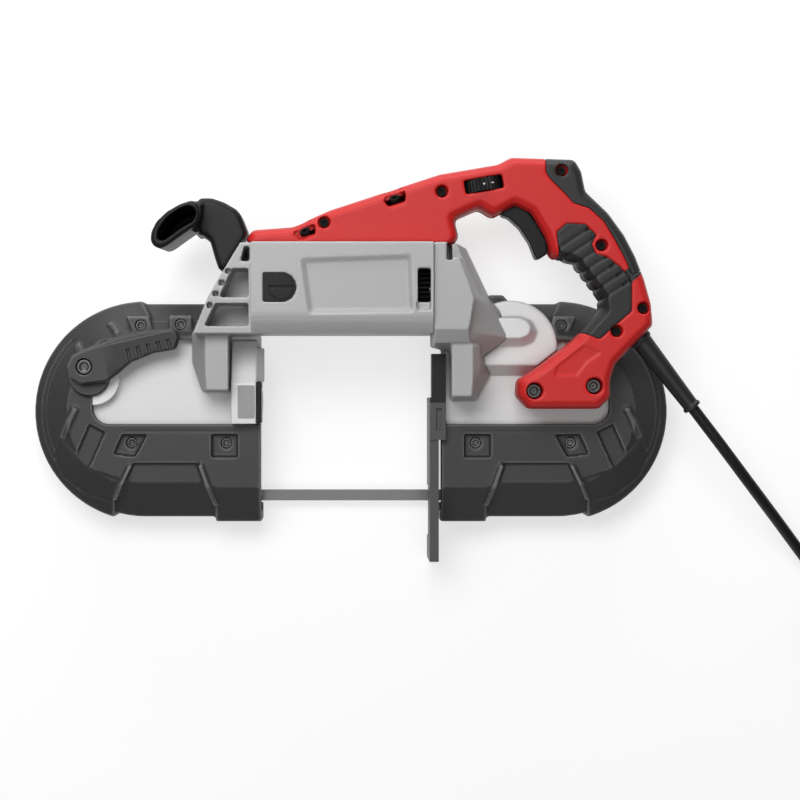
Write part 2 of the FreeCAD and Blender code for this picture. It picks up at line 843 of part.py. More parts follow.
def guard_crescent(side, low, high):
    """A groove round the outer slope, between two angles seen from the wheel."""
    outer = guard_radius - guard_crescent_inset
    start, end = guard_crescent_angles
    pie = Part.makeCylinder(outer, high - low, Vec(0, 0, low), up, end - start)
    pie = pie.cut(cylinder(outer - guard_crescent_width, low - overrun, high + overrun))
    pie.rotate(Vec(0, 0, 0), up, start)
    if side > 0:
        pie = pie.mirror(Vec(0, 0, 0), along)
    pie.translate(Vec(side * half_spacing, wheel_axis_y, 0))
    return pie


def guard(side):
    low = -overrun
    high = guard_front_z + 2 * guard_rib_rise
    open_end = guard_end_x - overrun

    def tool(pixels, floor, corner=0):
        return prism(side_points(side, pixels, guard_front_z), floor, high, corner)

    body = without(
        guard_skin(side, 0, 0),
        guard_relief(side, tool(guard_recess_pixels, low), guard_recess_depth, guard_recess_inset),
        guard_relief(side, tool(guard_top_pixels, low), guard_recess_depth, guard_top_inset),
        guard_relief(side, tool(guard_facet_pixels, guard_rim_z), guard_facet_depth, 0),
        guard_relief(side, guard_crescent(side, guard_rim_z, high), guard_crescent_depth, 0))
    raised = guard_skin(side, -guard_rib_rise, 0)
    adds = [tool(table, frame_front_z).common(raised) for table in guard_rib_tables_pixels]
    pads = [prism(side_points(side, table, guard_front_z), guard_step_z, guard_pad_z)
            for table in guard_pad_tables_pixels]
    adds += [pad.common(guard_skin(side, -guard_front_z, 0)) for pad in pads]
    body = joined(body, *adds)
    flange_top = frame_back_z + frame_flange_thickness + frame_clearance
    groove_floor = guard_front_z - guard_groove_depth
    kept = joined(tool(guard_recess_pixels, low), tool(guard_top_pixels, low))
    kept = kept.cut(d_prism(side, guard_keep_inset, low, high, open_end))
    cuts = [
        d_prism(side, guard_wall, guard_lip, guard_cavity_z, open_end),
        d_prism(side, guard_wall, guard_cavity_z, guard_rim_z, open_end).cut(kept),
        d_prism(side, guard_carriage_inset, guard_rim_z, frame_back_z, open_end).cut(kept),
        d_prism(side, frame_flange_inset - frame_clearance, frame_back_z, flange_top, open_end),
        d_prism(side, frame_plate_inset - frame_clearance, guard_rim_z, frame_front_z, open_end),
        d_prism(side, guard_lip_inset, low, guard_lip, open_end),
        tool(guard_window_pixels, guard_rim_z, guard_corner),
        tool(guard_back_cut_pixels, low),
        tool(guard_groove_pixels, groove_floor),
        tool(guard_side_pocket_pixels, groove_floor),
    ]
    cuts += [tool(table, guard_front_z - guard_pocket_depth) for table in guard_pocket_tables_pixels]
    for x, y in side_points(side, guard_screw_pixels, guard_front_z):
        cuts.append(cylinder(screw_shank_radius, frame_back_z, high, x, y))
        cuts.append(cylinder(screw_head_radius + frame_clearance, screw_seat_z, high, x, y))
    return without(body, *cuts)


def socket_screw(x, y, seat, head_radius, head_height, shank_radius, shank_end):
    head = cylinder(head_radius, seat, seat + head_height, x, y)
    shank = cylinder(shank_radius, shank_end, seat, x, y)
    socket_floor = seat + head_height * (1 - socket_depth_share)
    socket = cylinder(head_radius * socket_radius_share, socket_floor, seat + head_height + overrun, x, y)
    return joined(head, shank).cut(socket)


# Castings

def frame_plate(side):
    flange_z = frame_back_z + frame_flange_thickness
    flange = d_prism(side, frame_flange_inset, frame_back_z, flange_z, guard_end_x)
    plate = d_prism(side, frame_plate_inset, frame_back_z, frame_front_z, guard_end_x)
    return joined(flange, plate)


lever_x, lever_y = photo_point(lever_pivot_pixels, lever_base_z)
pier_outline = photo_points(pier_pixels, pier_front_z)
pier_outline[-1] = (pier_outline[-2][0], bar_bottom_y)
pier_outline += [(bar_left_x, bar_bottom_y), (bar_left_x, bar_top_y)]
pier_outline[0] = (pier_outline[0][0], bar_top_y)


def idler_frame():
    pier = prism(pier_outline, frame_back_z, pier_front_z)
    foot_low = photo_points(pier_foot_pixels, pier_foot_mid_z)
    foot_high = photo_points(pier_foot_top_pixels, pier_foot_front_z)
    foot = joined(prism(foot_low, frame_back_z, pier_foot_mid_z),
                  tapered([(foot_low, pier_foot_mid_z), (foot_high, pier_foot_front_z)], pier_corner))
    rails = []
    for sign in (1, -1):
        inner = wheel_axis_y + sign * (carriage_half_height + running_gap)
        outer = inner + sign * rail_height
        rail_start_x = -half_spacing - rail_length * rail_back_share
        rails.append(block((rail_start_x, min(inner, outer), carriage_back_z),
                           (-half_spacing + rail_length, max(inner, outer), frame_back_z + overrun)))
    body = joined(frame_plate(-1), pier, foot, *rails)
    cuts = [prism(photo_points(table, pier_front_z), pier_front_z - pier_window_depth, pier_front_z + overrun)
            for table in pier_window_tables_pixels]
    half = pier_hole_side / 2
    for x, y in photo_points(pier_hole_pixels, pier_front_z):
        cuts.append(block((x - half, y - half, pier_front_z - pier_hole_depth),
                          (x + half, y + half, pier_front_z + overrun)))
    cuts.append(cylinder(tension_shaft_radius + bearing_gap, frame_back_z - overrun, frame_front_z + overrun,
                         lever_x, lever_y))
    slot = [(-half_spacing - axle_radius - running_gap, wheel_axis_y - axle_radius - running_gap),
            (-half_spacing + axle_radius + 2 * eccentric_throw + running_gap,
             wheel_axis_y + axle_radius + running_gap)]
    slot_floor = frame_front_z - frame_flange_thickness
    cuts.append(block(slot[0] + (frame_back_z - overrun,), slot[1] + (slot_floor,)))
    cuts.append(block((bar_left_x, bar_bottom_y, frame_back_z - overrun),
                      (overrun - guard_end_x, bar_top_y, pier_front_z + overrun)))
    cuts += screw_holes(-1)
    cuts += bolt_shanks(-1)
    return without(body, *cuts)


def screw_holes(side):
    points = side_points(side, guard_screw_pixels, guard_front_z)
    count = len(points) if side < 0 else drive_screw_count
    return [cylinder(screw_shank_radius, frame_back_z - overrun, frame_front_z + overrun, x, y)
            for x, y in points[:count]]


def bolt_places(side):
    half_height = (bar_top_y - bar_bottom_y) / 2
    middle = (bar_top_y + bar_bottom_y) / 2
    return [(middle + half_height * share_y, motor_axis_z + bar_half_depth * share_z)
            for share_y, share_z in (idler_bolt_shares if side < 0 else drive_bolt_shares)]


def bolt_shanks(side):
    plane = bar_left_x if side < 0 else bar_right_x
    return [bar_x(frame_bolt_radius, plane - frame_bolt_length / 2, plane + frame_bolt_length / 2, y, z)
            for y, z in bolt_places(side)]


def brush_seat(radius, sign, deep, shallow):
    """A D on one face of the bar, round about the brush and square towards the idler, between two depths."""
    face = motor_axis_z + sign * bar_half_depth
    low, high = sorted((face - sign * deep, face - sign * shallow))
    reach = brush_recess_reach + radius - brush_recess_radius
    return joined(cylinder(radius, low, high, brush_x, motor_axis_y),
                  block((brush_x - reach, motor_axis_y - radius, low),
                        (brush_x, motor_axis_y + radius, high)))


def motor_housing():
    outline = [(bar_left_x, bar_bottom_y), (bar_right_x, bar_bottom_y),
               (bar_right_x, bar_top_y), (bar_left_x, bar_top_y)]
    body = prism(outline, bar_back_z, bar_front_z)
    chamfer = Part.makePolygon([
        Vec(bar_left_x - overrun, bar_bottom_y - overrun, bar_front_z + overrun),
        Vec(bar_left_x - overrun, bar_bottom_y - overrun, bar_front_z - bar_chamfer_z),
        Vec(bar_left_x - overrun, bar_bottom_y, bar_front_z - bar_chamfer_z),
        Vec(bar_left_x - overrun, bar_bottom_y + bar_chamfer_y, bar_front_z),
        Vec(bar_left_x - overrun, bar_bottom_y + bar_chamfer_y, bar_front_z + overrun),
        Vec(bar_left_x - overrun, bar_bottom_y - overrun, bar_front_z + overrun)])
    length = bar_right_x - bar_left_x
    cuts = [Part.Face(chamfer).extrude(along * (length + 2 * overrun))]
    cuts.append(bar_x(stator_radius, bar_left_x + bar_end_wall, bar_right_x + overrun,
                      motor_axis_y, motor_axis_z))
    cuts.append(bar_x(motor_bearing_radius, motor_rear_bearing_x, bar_left_x + bar_end_wall + overrun,
                      motor_axis_y, motor_axis_z))
    panel = photo_points(panel_pixels, bar_front_z)
    cuts.append(tapered([(inset_points(panel, panel_slope), bar_front_z - panel_depth), (panel, bar_front_z),
                         (panel, bar_front_z + overrun)], panel_corner))
    for sign in (1, -1):
        cuts.append(brush_seat(brush_recess_radius, sign, brush_recess_depth, -overrun))
    cuts.append(cylinder(brush_boss_radius, bar_back_z, bar_front_z, brush_x, motor_axis_y))
    cuts.append(prism(photo_points(vent_pixels, bar_front_z), bar_front_z - vent_depth,
                      bar_front_z + overrun))
    cuts.append(prism(photo_points(vent_step_pixels, bar_front_z), bar_front_z - vent_step_depth,
                      bar_front_z + overrun))
    cuts += bolt_shanks(-1) + bolt_shanks(1)
    return without(body, *cuts)


def gear_room_cuts():
    """The hollow round the gears, shared by the case and its cover."""
    first_outer = first_module * (first_gear_teeth / 2 + 1) + gear_room
    bevel_outer = bevel_gear_radius + bevel_module + gear_room
    bevel_low = layshaft_z - bevel_pinion_radius - bevel_gear_back - gear_room
    pinion_outer = bevel_pinion_radius + bevel_module + gear_room / 2
    return [
        bar_x(first_outer, first_gear_x - gear_room, first_gear_x + first_gear_width + gear_room,
              layshaft_y, layshaft_z),
        bar_x(pinion_outer, layshaft_bearing_places_x[1] + layshaft_bearing_width, intermediate_x,
              layshaft_y, layshaft_z),
        cylinder(bevel_outer, bevel_low, layshaft_z - bevel_pinion_radius / 2, intermediate_x, layshaft_y),
        bar_x(layshaft_bearing_radius, first_gear_x, layshaft_bearing_places_x[1] + layshaft_bearing_width,
              layshaft_y, layshaft_z),
        bar_x(first_module * (first_pinion_teeth / 2 + 1) + gear_room, bar_right_x - overrun,
              first_gear_x + first_gear_width + gear_room, motor_axis_y, motor_axis_z),
        cylinder(intermediate_bearing_radius, frame_back_z - overrun, bevel_low, intermediate_x, layshaft_y),
        cylinder(intermediate_radius + gear_room, bevel_low, intermediate_top_z + gear_room,
                 intermediate_x, layshaft_y),
    ]


def gear_case_block():
    """The faceted block between the bar and the cover, with its leg."""
    tables = [(block_base_pixels, frame_front_z), (block_mid_pixels, block_mid_z),
              (block_edge_pixels, block_edge_z), (block_top_pixels, block_front_z)]
    levels = []
    for table, z in tables:
        points = photo_points(table, z)
        points[0] = (bar_right_x, bar_top_y)
        points[1] = (points[1][0], bar_top_y)
        points[-1] = (bar_right_x, points[-1][1])
        levels.append((points, z))
    upper = joined(prism(levels[0][0], frame_back_z, frame_front_z), tapered(levels, block_corner))
    leg_low = frame_front_z - overrun
    leg = tapered([(photo_points(block_leg_pixels, frame_front_z), leg_low),
                   (photo_points(block_leg_mid_pixels, block_leg_mid_z), block_leg_mid_z),
                   (photo_points(block_leg_top_pixels, block_leg_front_z), block_leg_front_z)], block_corner)
    return joined(upper, leg)


def gear_case():
    bearing_boss = cylinder(bearing_boss_radius, frame_back_z, frame_front_z, intermediate_x, layshaft_y)
    body = joined(frame_plate(1), gear_case_block(), bearing_boss)
    stem_channel = block((bar_right_x - overrun, stem_bottom_y, frame_front_z),
                         (bar_right_x + stem_width + 2 * running_gap, stem_top_y + shoe_travel + overrun,
                          stem_front_z + running_gap))
    cuts = gear_room_cuts() + screw_holes(1) + bolt_shanks(1) + [stem_channel]
    bearing_end_x = motor_front_bearing_x + motor_bearing_width
    cuts.append(bar_x(motor_bearing_radius, motor_front_bearing_x, bearing_end_x, motor_axis_y, motor_axis_z))
    cuts.append(prism(photo_points(block_notch_pixels, block_front_z), block_front_z - block_notch_depth,
                      block_front_z + overrun))
    cuts.append(prism(photo_points(block_pocket_pixels, block_front_z), block_front_z - block_pocket_depth,
                      block_front_z + overrun))
    cuts.append(cylinder(axle_radius, frame_back_z - overrun, frame_front_z - axle_cap, half_spacing,
                         wheel_axis_y))
    for x, y in photo_points(foot_screw_pixels, handle_near_z):
        cuts.append(cylinder(foot_screw_shank, frame_back_z - overrun, frame_front_z + overrun, x, y))
    return without(body, *cuts)


def gear_case_cover_form():
    """The round cover, sloped off along its lower side, with its nose."""
    cx, cy = photo_point(cover_pixels, cover_front_z)
    rim_z = cover_front_z - cover_edge
    disc = joined(cylinder(cover_radius, frame_front_z, rim_z, cx, cy),
                  Part.makeCone(cover_radius, cover_radius - cover_edge, cover_edge, Vec(cx, cy, rim_z)))
    slope_high = photo_point((cover_pixels[0], cover_cut_pixels[0]), cover_front_z)[1]
    slope_low = photo_point((cover_pixels[0], cover_cut_pixels[1]), frame_front_z)[1]
    start_x = cx - cover_radius - overrun
    below = cy - cover_radius - overrun
    profile = [(slope_high, cover_front_z + overrun), (slope_high, cover_front_z), (slope_low, frame_front_z),
               (slope_low, frame_front_z - overrun), (below, frame_front_z - overrun),
               (below, cover_front_z + overrun)]
    slope = Part.makePolygon([Vec(start_x, y, z) for y, z in profile + profile[:1]])
    slope = Part.Face(slope).extrude(along * (2 * cover_radius + 2 * overrun))
    nose = tapered([(photo_points(nose_pixels, cover_front_z), frame_front_z),
                    (photo_points(nose_pixels, cover_front_z), cover_front_z),
                    (photo_points(nose_top_pixels, nose_front_z), nose_front_z)], nose_corner)
    return joined(disc.cut(slope), nose)


def gear_case_cover():
    return without(gear_case_cover_form(), gear_case_block(), *gear_room_cuts())


save("idler_frame", idler_frame())
save("motor_housing", motor_housing())
save("gear_case", gear_case())
cover = gear_case_cover()

bolts = []
for side in (-1, 1):
    plane = bar_left_x if side < 0 else bar_right_x
    for y, z in bolt_places(side):
        bolts.append(bar_x(frame_bolt_radius, plane - frame_bolt_length / 2, plane + frame_bolt_length / 2,
                           y, z))
save("frame_bolts", *bolts)

cover_prism = cylinder(cover_radius + frame_clearance, frame_front_z, guard_front_z + 2 * guard_rib_rise,
                       *photo_point(cover_pixels, cover_front_z))
pier_room = prism(inset_points(pier_outline, -frame_clearance), guard_rim_z, pier_front_z)
foot_points = photo_points(pier_foot_pixels, pier_foot_mid_z)
foot_room = prism(inset_points(foot_points, -frame_clearance), guard_rim_z, pier_front_z)
idler_guard = without(guard(-1), pier_room, foot_room)
pinion_room = cylinder(final_module * (final_pinion_teeth / 2 + 1) + gear_room, wheel_front_z, cover_front_z,
                       intermediate_x, layshaft_y)
drive_tab = prism(photo_points(drive_tab_pixels, frame_front_z), guard_rim_z, frame_front_z)
drive_guard = without(joined(guard(1), drive_tab), cover_prism, pinion_room, gear_case_block())


# Rear handle

handle_outline = photo_points(handle_pixels, handle_near_z)
handle_outline[0] = (handle_outline[0][0], bar_top_y)
handle_outline[-1] = (handle_outline[-1][0], bar_top_y)


def handle_form(inset):
    """The crowned body of the rear handle, drawn in all round by the given amount, flat along the bar."""
    half = handle_half_width - inset
    levels = [(-half, handle_round_inset), (-half + handle_round_mid_z, handle_round_mid_inset),
              (-half + handle_round_z, 0), (half - handle_round_z, 0),
              (half - handle_round_mid_z, handle_round_mid_inset), (half, handle_round_inset)]
    depths = [(handle_axis_z + z, depth + inset) for z, depth in levels]
    return layered(handle_outline, handle_corner, depths, 0)


def on_axis(pixels):
    """A prism's outline on the handle's middle plane."""
    return photo_points(pixels, handle_near_z)


def handle_prism(pixels, half_width, radius=0):
    return prism(on_axis(pixels), handle_axis_z - half_width, handle_axis_z + half_width, radius)


foot_outline = on_axis(foot_pixels)
foot = prism(foot_outline, frame_front_z, handle_axis_z, handle_corner)
whole_form = handle_form(0)
core = handle_form(skin_thickness)
zone_half = handle_half_width + overrun
palm_skin = handle_prism(palm_zone_pixels, zone_half).cut(core)
finger_skin = handle_prism(finger_zone_pixels, zone_half).cut(core)
screw_places = on_axis(handle_screw_pixels)
foot_screw_places = on_axis(foot_screw_pixels)

relief_root = Vec(*photo_point(relief_root_pixels, handle_axis_z), handle_axis_z)
relief_tip = Vec(*photo_point(relief_tip_pixels, handle_axis_z), handle_axis_z)
relief_direction = (relief_tip - relief_root).normalize()
relief_inner = relief_root - relief_direction * relief_collar_length

dial_x, dial_y = photo_point(dial_pixels, handle_near_z)
dial_z = handle_near_z + dial_rise - dial_radius
dial_axis = Vec(-math.sin(math.radians(dial_tilt_angle)), math.cos(math.radians(dial_tilt_angle)), 0)
dial_side = dial_axis.cross(up)
dial_centre = Vec(dial_x, dial_y, dial_z)


def across_dial(low_side, high_side, low_axis, high_axis, low, high):
    """A block laid along the dial's slanted slot."""
    pairs = [(low_side, low_axis), (high_side, low_axis), (high_side, high_axis), (low_side, high_axis)]
    corners = [dial_centre + dial_side * a + dial_axis * b for a, b in pairs]
    return prism([(corner.x, corner.y) for corner in corners], low, high)


def screw_stack(places, floor, bore, shank):
    return [cylinder(bore, floor, handle_near_z + overrun, x, y) for x, y in places] + [
        cylinder(shank, frame_front_z - overrun, floor, x, y) for x, y in places]


cavity = handle_prism(handle_cavity_pixels, handle_cavity_half_width)
cavity = without(cavity, *[cylinder(handle_screw_bore + skin_thickness, handle_far_z, handle_near_z, x, y)
                           for x, y in screw_places])
trigger_slot = handle_prism(trigger_slot_pixels, trigger_half_width + trigger_room)
dial_reach = dial_radius + dial_room
dial_half = dial_width / 2 + dial_room
dial_slot = across_dial(-dial_reach, dial_reach, -dial_half, dial_half, handle_axis_z,
                        handle_near_z + overrun)
relief_bore = Part.makeCylinder(relief_collar_radius, relief_collar_length + 4 * relief_collar_radius,
                                relief_inner, relief_direction)


def shell_bolt(place, edge):
    """Where a bolt sinks into the shell's sloped top edge: its seat and the way it points."""
    first = Vec(*handle_outline[edge], 0)
    second = Vec(*handle_outline[edge + 1], 0)
    outward = up.cross(second - first).normalize()
    tilt = math.radians(shell_bolt_tilt_angle)
    axis = outward * math.sin(tilt) + up * math.cos(tilt)
    seat_z = handle_near_z - handle_round_z / 2
    return Vec(*photo_point(place, seat_z), seat_z) - axis * shell_bolt_depth, axis


bolt_seats = [shell_bolt(place, edge) for place, edge in zip(shell_bolt_pixels, shell_bolt_edges)]
shell_bolts = []
handle_cuts = [cavity, trigger_slot, dial_slot, relief_bore]
for seat, axis in bolt_seats:
    shank = Part.makeCylinder(screw_shank_radius, shell_bolt_length, seat - axis * shell_bolt_length, axis)
    head = Part.makeCylinder(shell_bolt_radius, shell_bolt_height, seat, axis)
    socket = Part.makeCylinder(shell_bolt_radius * socket_radius_share, shell_bolt_height,
                               seat + axis * (shell_bolt_height * (1 - socket_depth_share)), axis)
    shell_bolts.append(joined(head, shank).cut(socket))
    handle_cuts += [shank, Part.makeCylinder(shell_bolt_bore, shell_bolt_length, seat, axis)]
handle_cuts += screw_stack(screw_places, handle_screw_floor_z, handle_screw_bore, screw_shank_radius)
handle_cuts += screw_stack(foot_screw_places, foot_screw_floor_z, foot_screw_bore, foot_screw_shank)
body = joined(whole_form, foot)
emboss = prism(on_axis(foot_emboss_pixels), handle_near_z - foot_emboss_depth, handle_near_z + overrun,
               foot_emboss_corner)
shells = without(body, palm_skin, finger_skin, emboss, *handle_cuts)
palm = without(whole_form.common(palm_skin), *handle_cuts)
finger = without(whole_form.common(finger_skin), *handle_cuts)
near_half = block((-wheel_spacing, -wheel_spacing, handle_axis_z),
                  (wheel_spacing, wheel_spacing, handle_near_z + 2 * overrun))

pivot_x, pivot_y = photo_point(trigger_pivot_pixels, handle_near_z)
bore_end = handle_axis_z + trigger_half_width - trigger_cap
post = cylinder(trigger_post_radius, handle_far_z + skin_thickness, bore_end - running_gap, pivot_x, pivot_y)
cradle_low = handle_axis_z - handle_cavity_half_width - overrun
cradles = []
for sign in (1, -1):
    edges = sorted((sign * dial_half, sign * (dial_half + dial_stub_length)))
    cradles.append(across_dial(-dial_radius / 2, dial_radius / 2, edges[0], edges[1], cradle_low,
                               dial_z + 2 * dial_stub_radius))
stub_reach = dial_half + dial_stub_length + overrun
stub_bore = Part.makeCylinder(dial_stub_radius + bearing_gap, 2 * stub_reach,
                              dial_centre - dial_axis * stub_reach, dial_axis)
far_shell = joined(shells.cut(near_half), post, *[cradle.cut(stub_bore) for cradle in cradles])
save("handle_shell_near", shells.common(near_half))
save("handle_shell_far", far_shell)
save("palm_grip", palm.common(near_half), palm.cut(near_half))
save("finger_grip", finger.common(near_half), finger.cut(near_half))
save("handle_screws", *[socket_screw(x, y, handle_screw_floor_z, handle_screw_radius, handle_screw_height,
                                     screw_shank_radius, handle_screw_floor_z - handle_screw_length)
                        for x, y in screw_places], *shell_bolts)
save("foot_screws", *[socket_screw(x, y, foot_screw_floor_z, foot_screw_radius, foot_screw_height,
                                   foot_screw_shank, frame_back_z) for x, y in foot_screw_places])

trigger = handle_prism(trigger_pixels, trigger_half_width, trigger_corner)
trigger = trigger.cut(cylinder(trigger_post_radius + bearing_gap, handle_far_z, bore_end, pivot_x, pivot_y))
save("trigger", trigger)

switch = prism(on_axis(switch_pixels), handle_axis_z - handle_cavity_half_width,
               handle_axis_z + switch_half_width)
save("switch_body", switch)

dial_points = []
for k in range(2 * dial_ridge_count):
    radius = dial_radius - dial_ridge_depth * (k % 2)
    dial_points.append((radius * math.cos(math.pi * k / dial_ridge_count),
                        radius * math.sin(math.pi * k / dial_ridge_count)))
dial = prism(dial_points, -dial_width / 2, dial_width / 2)
stubs = cylinder(dial_stub_radius, -dial_half - dial_stub_length, dial_half + dial_stub_length)
dial = joined(dial, stubs)
dial.rotate(Vec(0, 0, 0), along, -90)
dial.rotate(Vec(0, 0, 0), up, dial_tilt_angle)
dial.translate(dial_centre)
save("speed_dial", dial)

handle_shadow = prism(inset_points(handle_outline, -foot_gap), handle_far_z - foot_gap, nose_front_z)
foot_shadow = prism(inset_points(foot_outline, -foot_gap), frame_front_z - overrun, nose_front_z)
save("gear_case_cover", without(cover, handle_shadow, foot_shadow))

# Tension parts and guards: the boss stands in the guard's window, and the shaft comes up through the guard
boss_x, boss_y = photo_point(tension_boss_pixels, tension_boss_z)
window = inset_points(photo_points(guard_window_pixels, guard_front_z), frame_clearance)
boss = cylinder(tension_boss_radius, frame_front_z, tension_boss_z, boss_x, boss_y)
boss = boss.common(prism(window, frame_front_z, tension_boss_z, guard_corner))
save("tension_boss", boss.cut(cylinder(tension_shaft_radius + bearing_gap, frame_front_z - overrun,
                                       tension_boss_z + overrun, lever_x, lever_y)))
save("idler_guard", idler_guard.cut(cylinder(tension_shaft_radius + frame_clearance, frame_back_z,
                                             guard_front_z + 2 * guard_rib_rise, lever_x, lever_y)))
save("drive_guard", drive_guard)
guard_screws = []
for side, count in ((-1, len(guard_screw_pixels)), (1, drive_screw_count)):
    for x, y in side_points(side, guard_screw_pixels, guard_front_z)[:count]:
        guard_screws.append(socket_screw(x, y, screw_seat_z, screw_head_radius, screw_head_height,
                                         screw_shank_radius, frame_back_z))
save("guard_screws", *guard_screws)

lever_top = lever_base_z + lever_height
lever_points = photo_points(lever_pixels, lever_top)
lever_levels = [(lever_base_z, 0), (lever_top - 2 * lever_edge, 0), (lever_top, lever_edge)]
lever = layered(lever_points, lever_corner, lever_levels)
skirt_x, skirt_y = photo_point(lever_skirt_pixels, lever_base_z)
skirt = Part.makeCone(lever_skirt_radius, lever_skirt_radius - lever_edge,
                      lever_base_z + lever_edge - lever_skirt_z, Vec(skirt_x, skirt_y, lever_skirt_z))
lever = joined(lever, skirt)
lever_seat = lever_top - lever_bore_depth
lever_cuts = [cylinder(tension_shaft_radius, lever_skirt_z - overrun, lever_seat, lever_x, lever_y),
              cylinder(lever_bore, lever_seat, lever_top + overrun, lever_x, lever_y)]
lever_cuts += [prism(photo_points(table, lever_top), lever_top - lever_rib_depth, lever_top + overrun)
               for table in lever_rib_tables_pixels]
save("tension_lever", without(lever, *lever_cuts))
eccentric_x = lever_x - eccentric_throw
carriage_front_z = frame_back_z - running_gap
tension_shaft = joined(cylinder(tension_shaft_radius, carriage_front_z, lever_seat, lever_x, lever_y),
                       cylinder(eccentric_radius, carriage_back_z, carriage_front_z, eccentric_x, lever_y))
save("tension_shaft", tension_shaft)
save("tension_lever_screw", socket_screw(lever_x, lever_y, lever_seat, lever_screw_radius, lever_screw_height,
                                         screw_shank_radius, lever_seat))

slot_half = eccentric_radius + eccentric_slack
slot_rise = slot_half + eccentric_throw
carriage_end_x = lever_x - eccentric_throw - carriage_arm_end
carriage_points = [
    (-half_spacing + carriage_front_reach, wheel_axis_y - carriage_half_height),
    (-half_spacing + carriage_front_reach, wheel_axis_y + carriage_half_height),
    (-half_spacing - carriage_back_reach, wheel_axis_y + carriage_half_height),
    (lever_x + carriage_arm_end, lever_y + carriage_arm_end),
    (carriage_end_x + carriage_arm_chamfer, lever_y + carriage_arm_end),
    (carriage_end_x, lever_y + carriage_arm_end - carriage_arm_chamfer),
    (carriage_end_x, lever_y - carriage_arm_end),
    (-half_spacing - carriage_back_reach, wheel_axis_y - carriage_half_height),
]
carriage = prism(carriage_points, carriage_back_z, carriage_front_z)
carriage_cuts = [
    block((eccentric_x - slot_half, lever_y - slot_rise, carriage_back_z - overrun),
          (eccentric_x + slot_half, lever_y + slot_rise, frame_back_z)),
    cylinder(axle_radius, carriage_back_z - overrun, frame_back_z, -half_spacing, wheel_axis_y),
]
save("idler_carriage", without(carriage, *carriage_cuts))

# Wheels


def wheel(side, hub_front):
    rim_outer = tyre_radius - tyre_thickness
    web_low = blade_z - wheel_web / 2
    x = side * half_spacing
    body = joined(ring(rim_outer, rim_outer - wheel_rim, wheel_back_z, wheel_front_z, x, wheel_axis_y),
                  cylinder(rim_outer - wheel_rim / 2, web_low, web_low + wheel_web, x, wheel_axis_y),
                  cylinder(wheel_hub_radius, wheel_back_z, hub_front, x, wheel_axis_y))
    bore = axle_radius + wheel_bearing_wall + bearing_gap
    cuts = [cylinder(bore, wheel_back_z - overrun, hub_front + overrun, x, wheel_axis_y)]
    for k in range(wheel_hole_count):
        turn = 2 * math.pi * k / wheel_hole_count
        hole_x = x + wheel_hole_circle * math.cos(turn)
        hole_y = wheel_axis_y + wheel_hole_circle * math.sin(turn)
        cuts.append(cylinder(wheel_hole_radius, wheel_back_z, wheel_front_z, hole_x, hole_y))
    tyre = ring(tyre_radius, rim_outer, wheel_back_z, wheel_front_z, x, wheel_axis_y)
    bearing = ring(axle_radius + wheel_bearing_wall, axle_radius, wheel_back_z, hub_front, x, wheel_axis_y)
    return without(body, *cuts), tyre, bearing


idler_wheel, idler_tyre, idler_bearing = wheel(-1, wheel_front_z)
save("idler_wheel", idler_wheel)
save("idler_tyre", idler_tyre)
save("idler_bearing", idler_bearing)
save("idler_axle", cylinder(axle_radius, wheel_back_z, carriage_front_z, -half_spacing, wheel_axis_y))
drive_wheel, drive_tyre, drive_bearing = wheel(1, final_gear_z)
save("drive_wheel", drive_wheel)
save("drive_tyre", drive_tyre)
save("drive_bearing", drive_bearing)
save("drive_axle", cylinder(axle_radius, wheel_back_z, frame_front_z - axle_cap, half_spacing, wheel_axis_y))

# Gear train
final_angle = math.atan2(wheel_axis_y - layshaft_y, half_spacing - intermediate_x)
drive_gear = spur_gear(final_gear_teeth, final_module, final_gear_z, final_gear_z + final_gear_width,
                       final_angle + math.pi + math.pi / final_gear_teeth)
drive_gear = drive_gear.cut(shaft(axle_radius + wheel_bearing_wall + gear_room, final_gear_z - overrun,
                                  frame_back_z))
drive_gear.translate(Vec(half_spacing, wheel_axis_y, 0))
save("drive_gear", drive_gear)
intermediate = joined(spur_gear(final_pinion_teeth, final_module, final_gear_z,
                                final_gear_z + final_gear_width, final_angle),
                      shaft(intermediate_radius, final_gear_z, intermediate_top_z))
intermediate.translate(Vec(intermediate_x, layshaft_y, 0))
save("intermediate_shaft", intermediate)
bevel_gear = bevel_wheel(bevel_gear_teeth, bevel_pinion_teeth, bevel_gear_back,
                         math.pi + math.pi / bevel_gear_teeth)
bevel_gear = bevel_gear.cut(shaft(intermediate_radius, -layshaft_z, layshaft_z))
bevel_gear.translate(Vec(intermediate_x, layshaft_y, layshaft_z))
save("bevel_gear", bevel_gear)
apex_reach = intermediate_x - first_gear_x
bevel_pinion = bevel_wheel(bevel_pinion_teeth, bevel_gear_teeth, bevel_pinion_back, -math.pi / 2)
pinion_shaft = shaft(layshaft_radius, -apex_reach, -bevel_gear_radius)
layshaft = on_x(joined(bevel_pinion, pinion_shaft), intermediate_x, layshaft_y, layshaft_z)
save("layshaft", layshaft)
first_angle = math.atan2(layshaft_z - motor_axis_z, layshaft_y - motor_axis_y)
first_gear = spur_gear(first_gear_teeth, first_module, 0, first_gear_width,
                       first_angle + math.pi + math.pi / first_gear_teeth)
first_gear = first_gear.cut(shaft(layshaft_radius, -overrun, first_gear_width + overrun))
save("layshaft_gear", on_x(first_gear, first_gear_x, layshaft_y, layshaft_z))

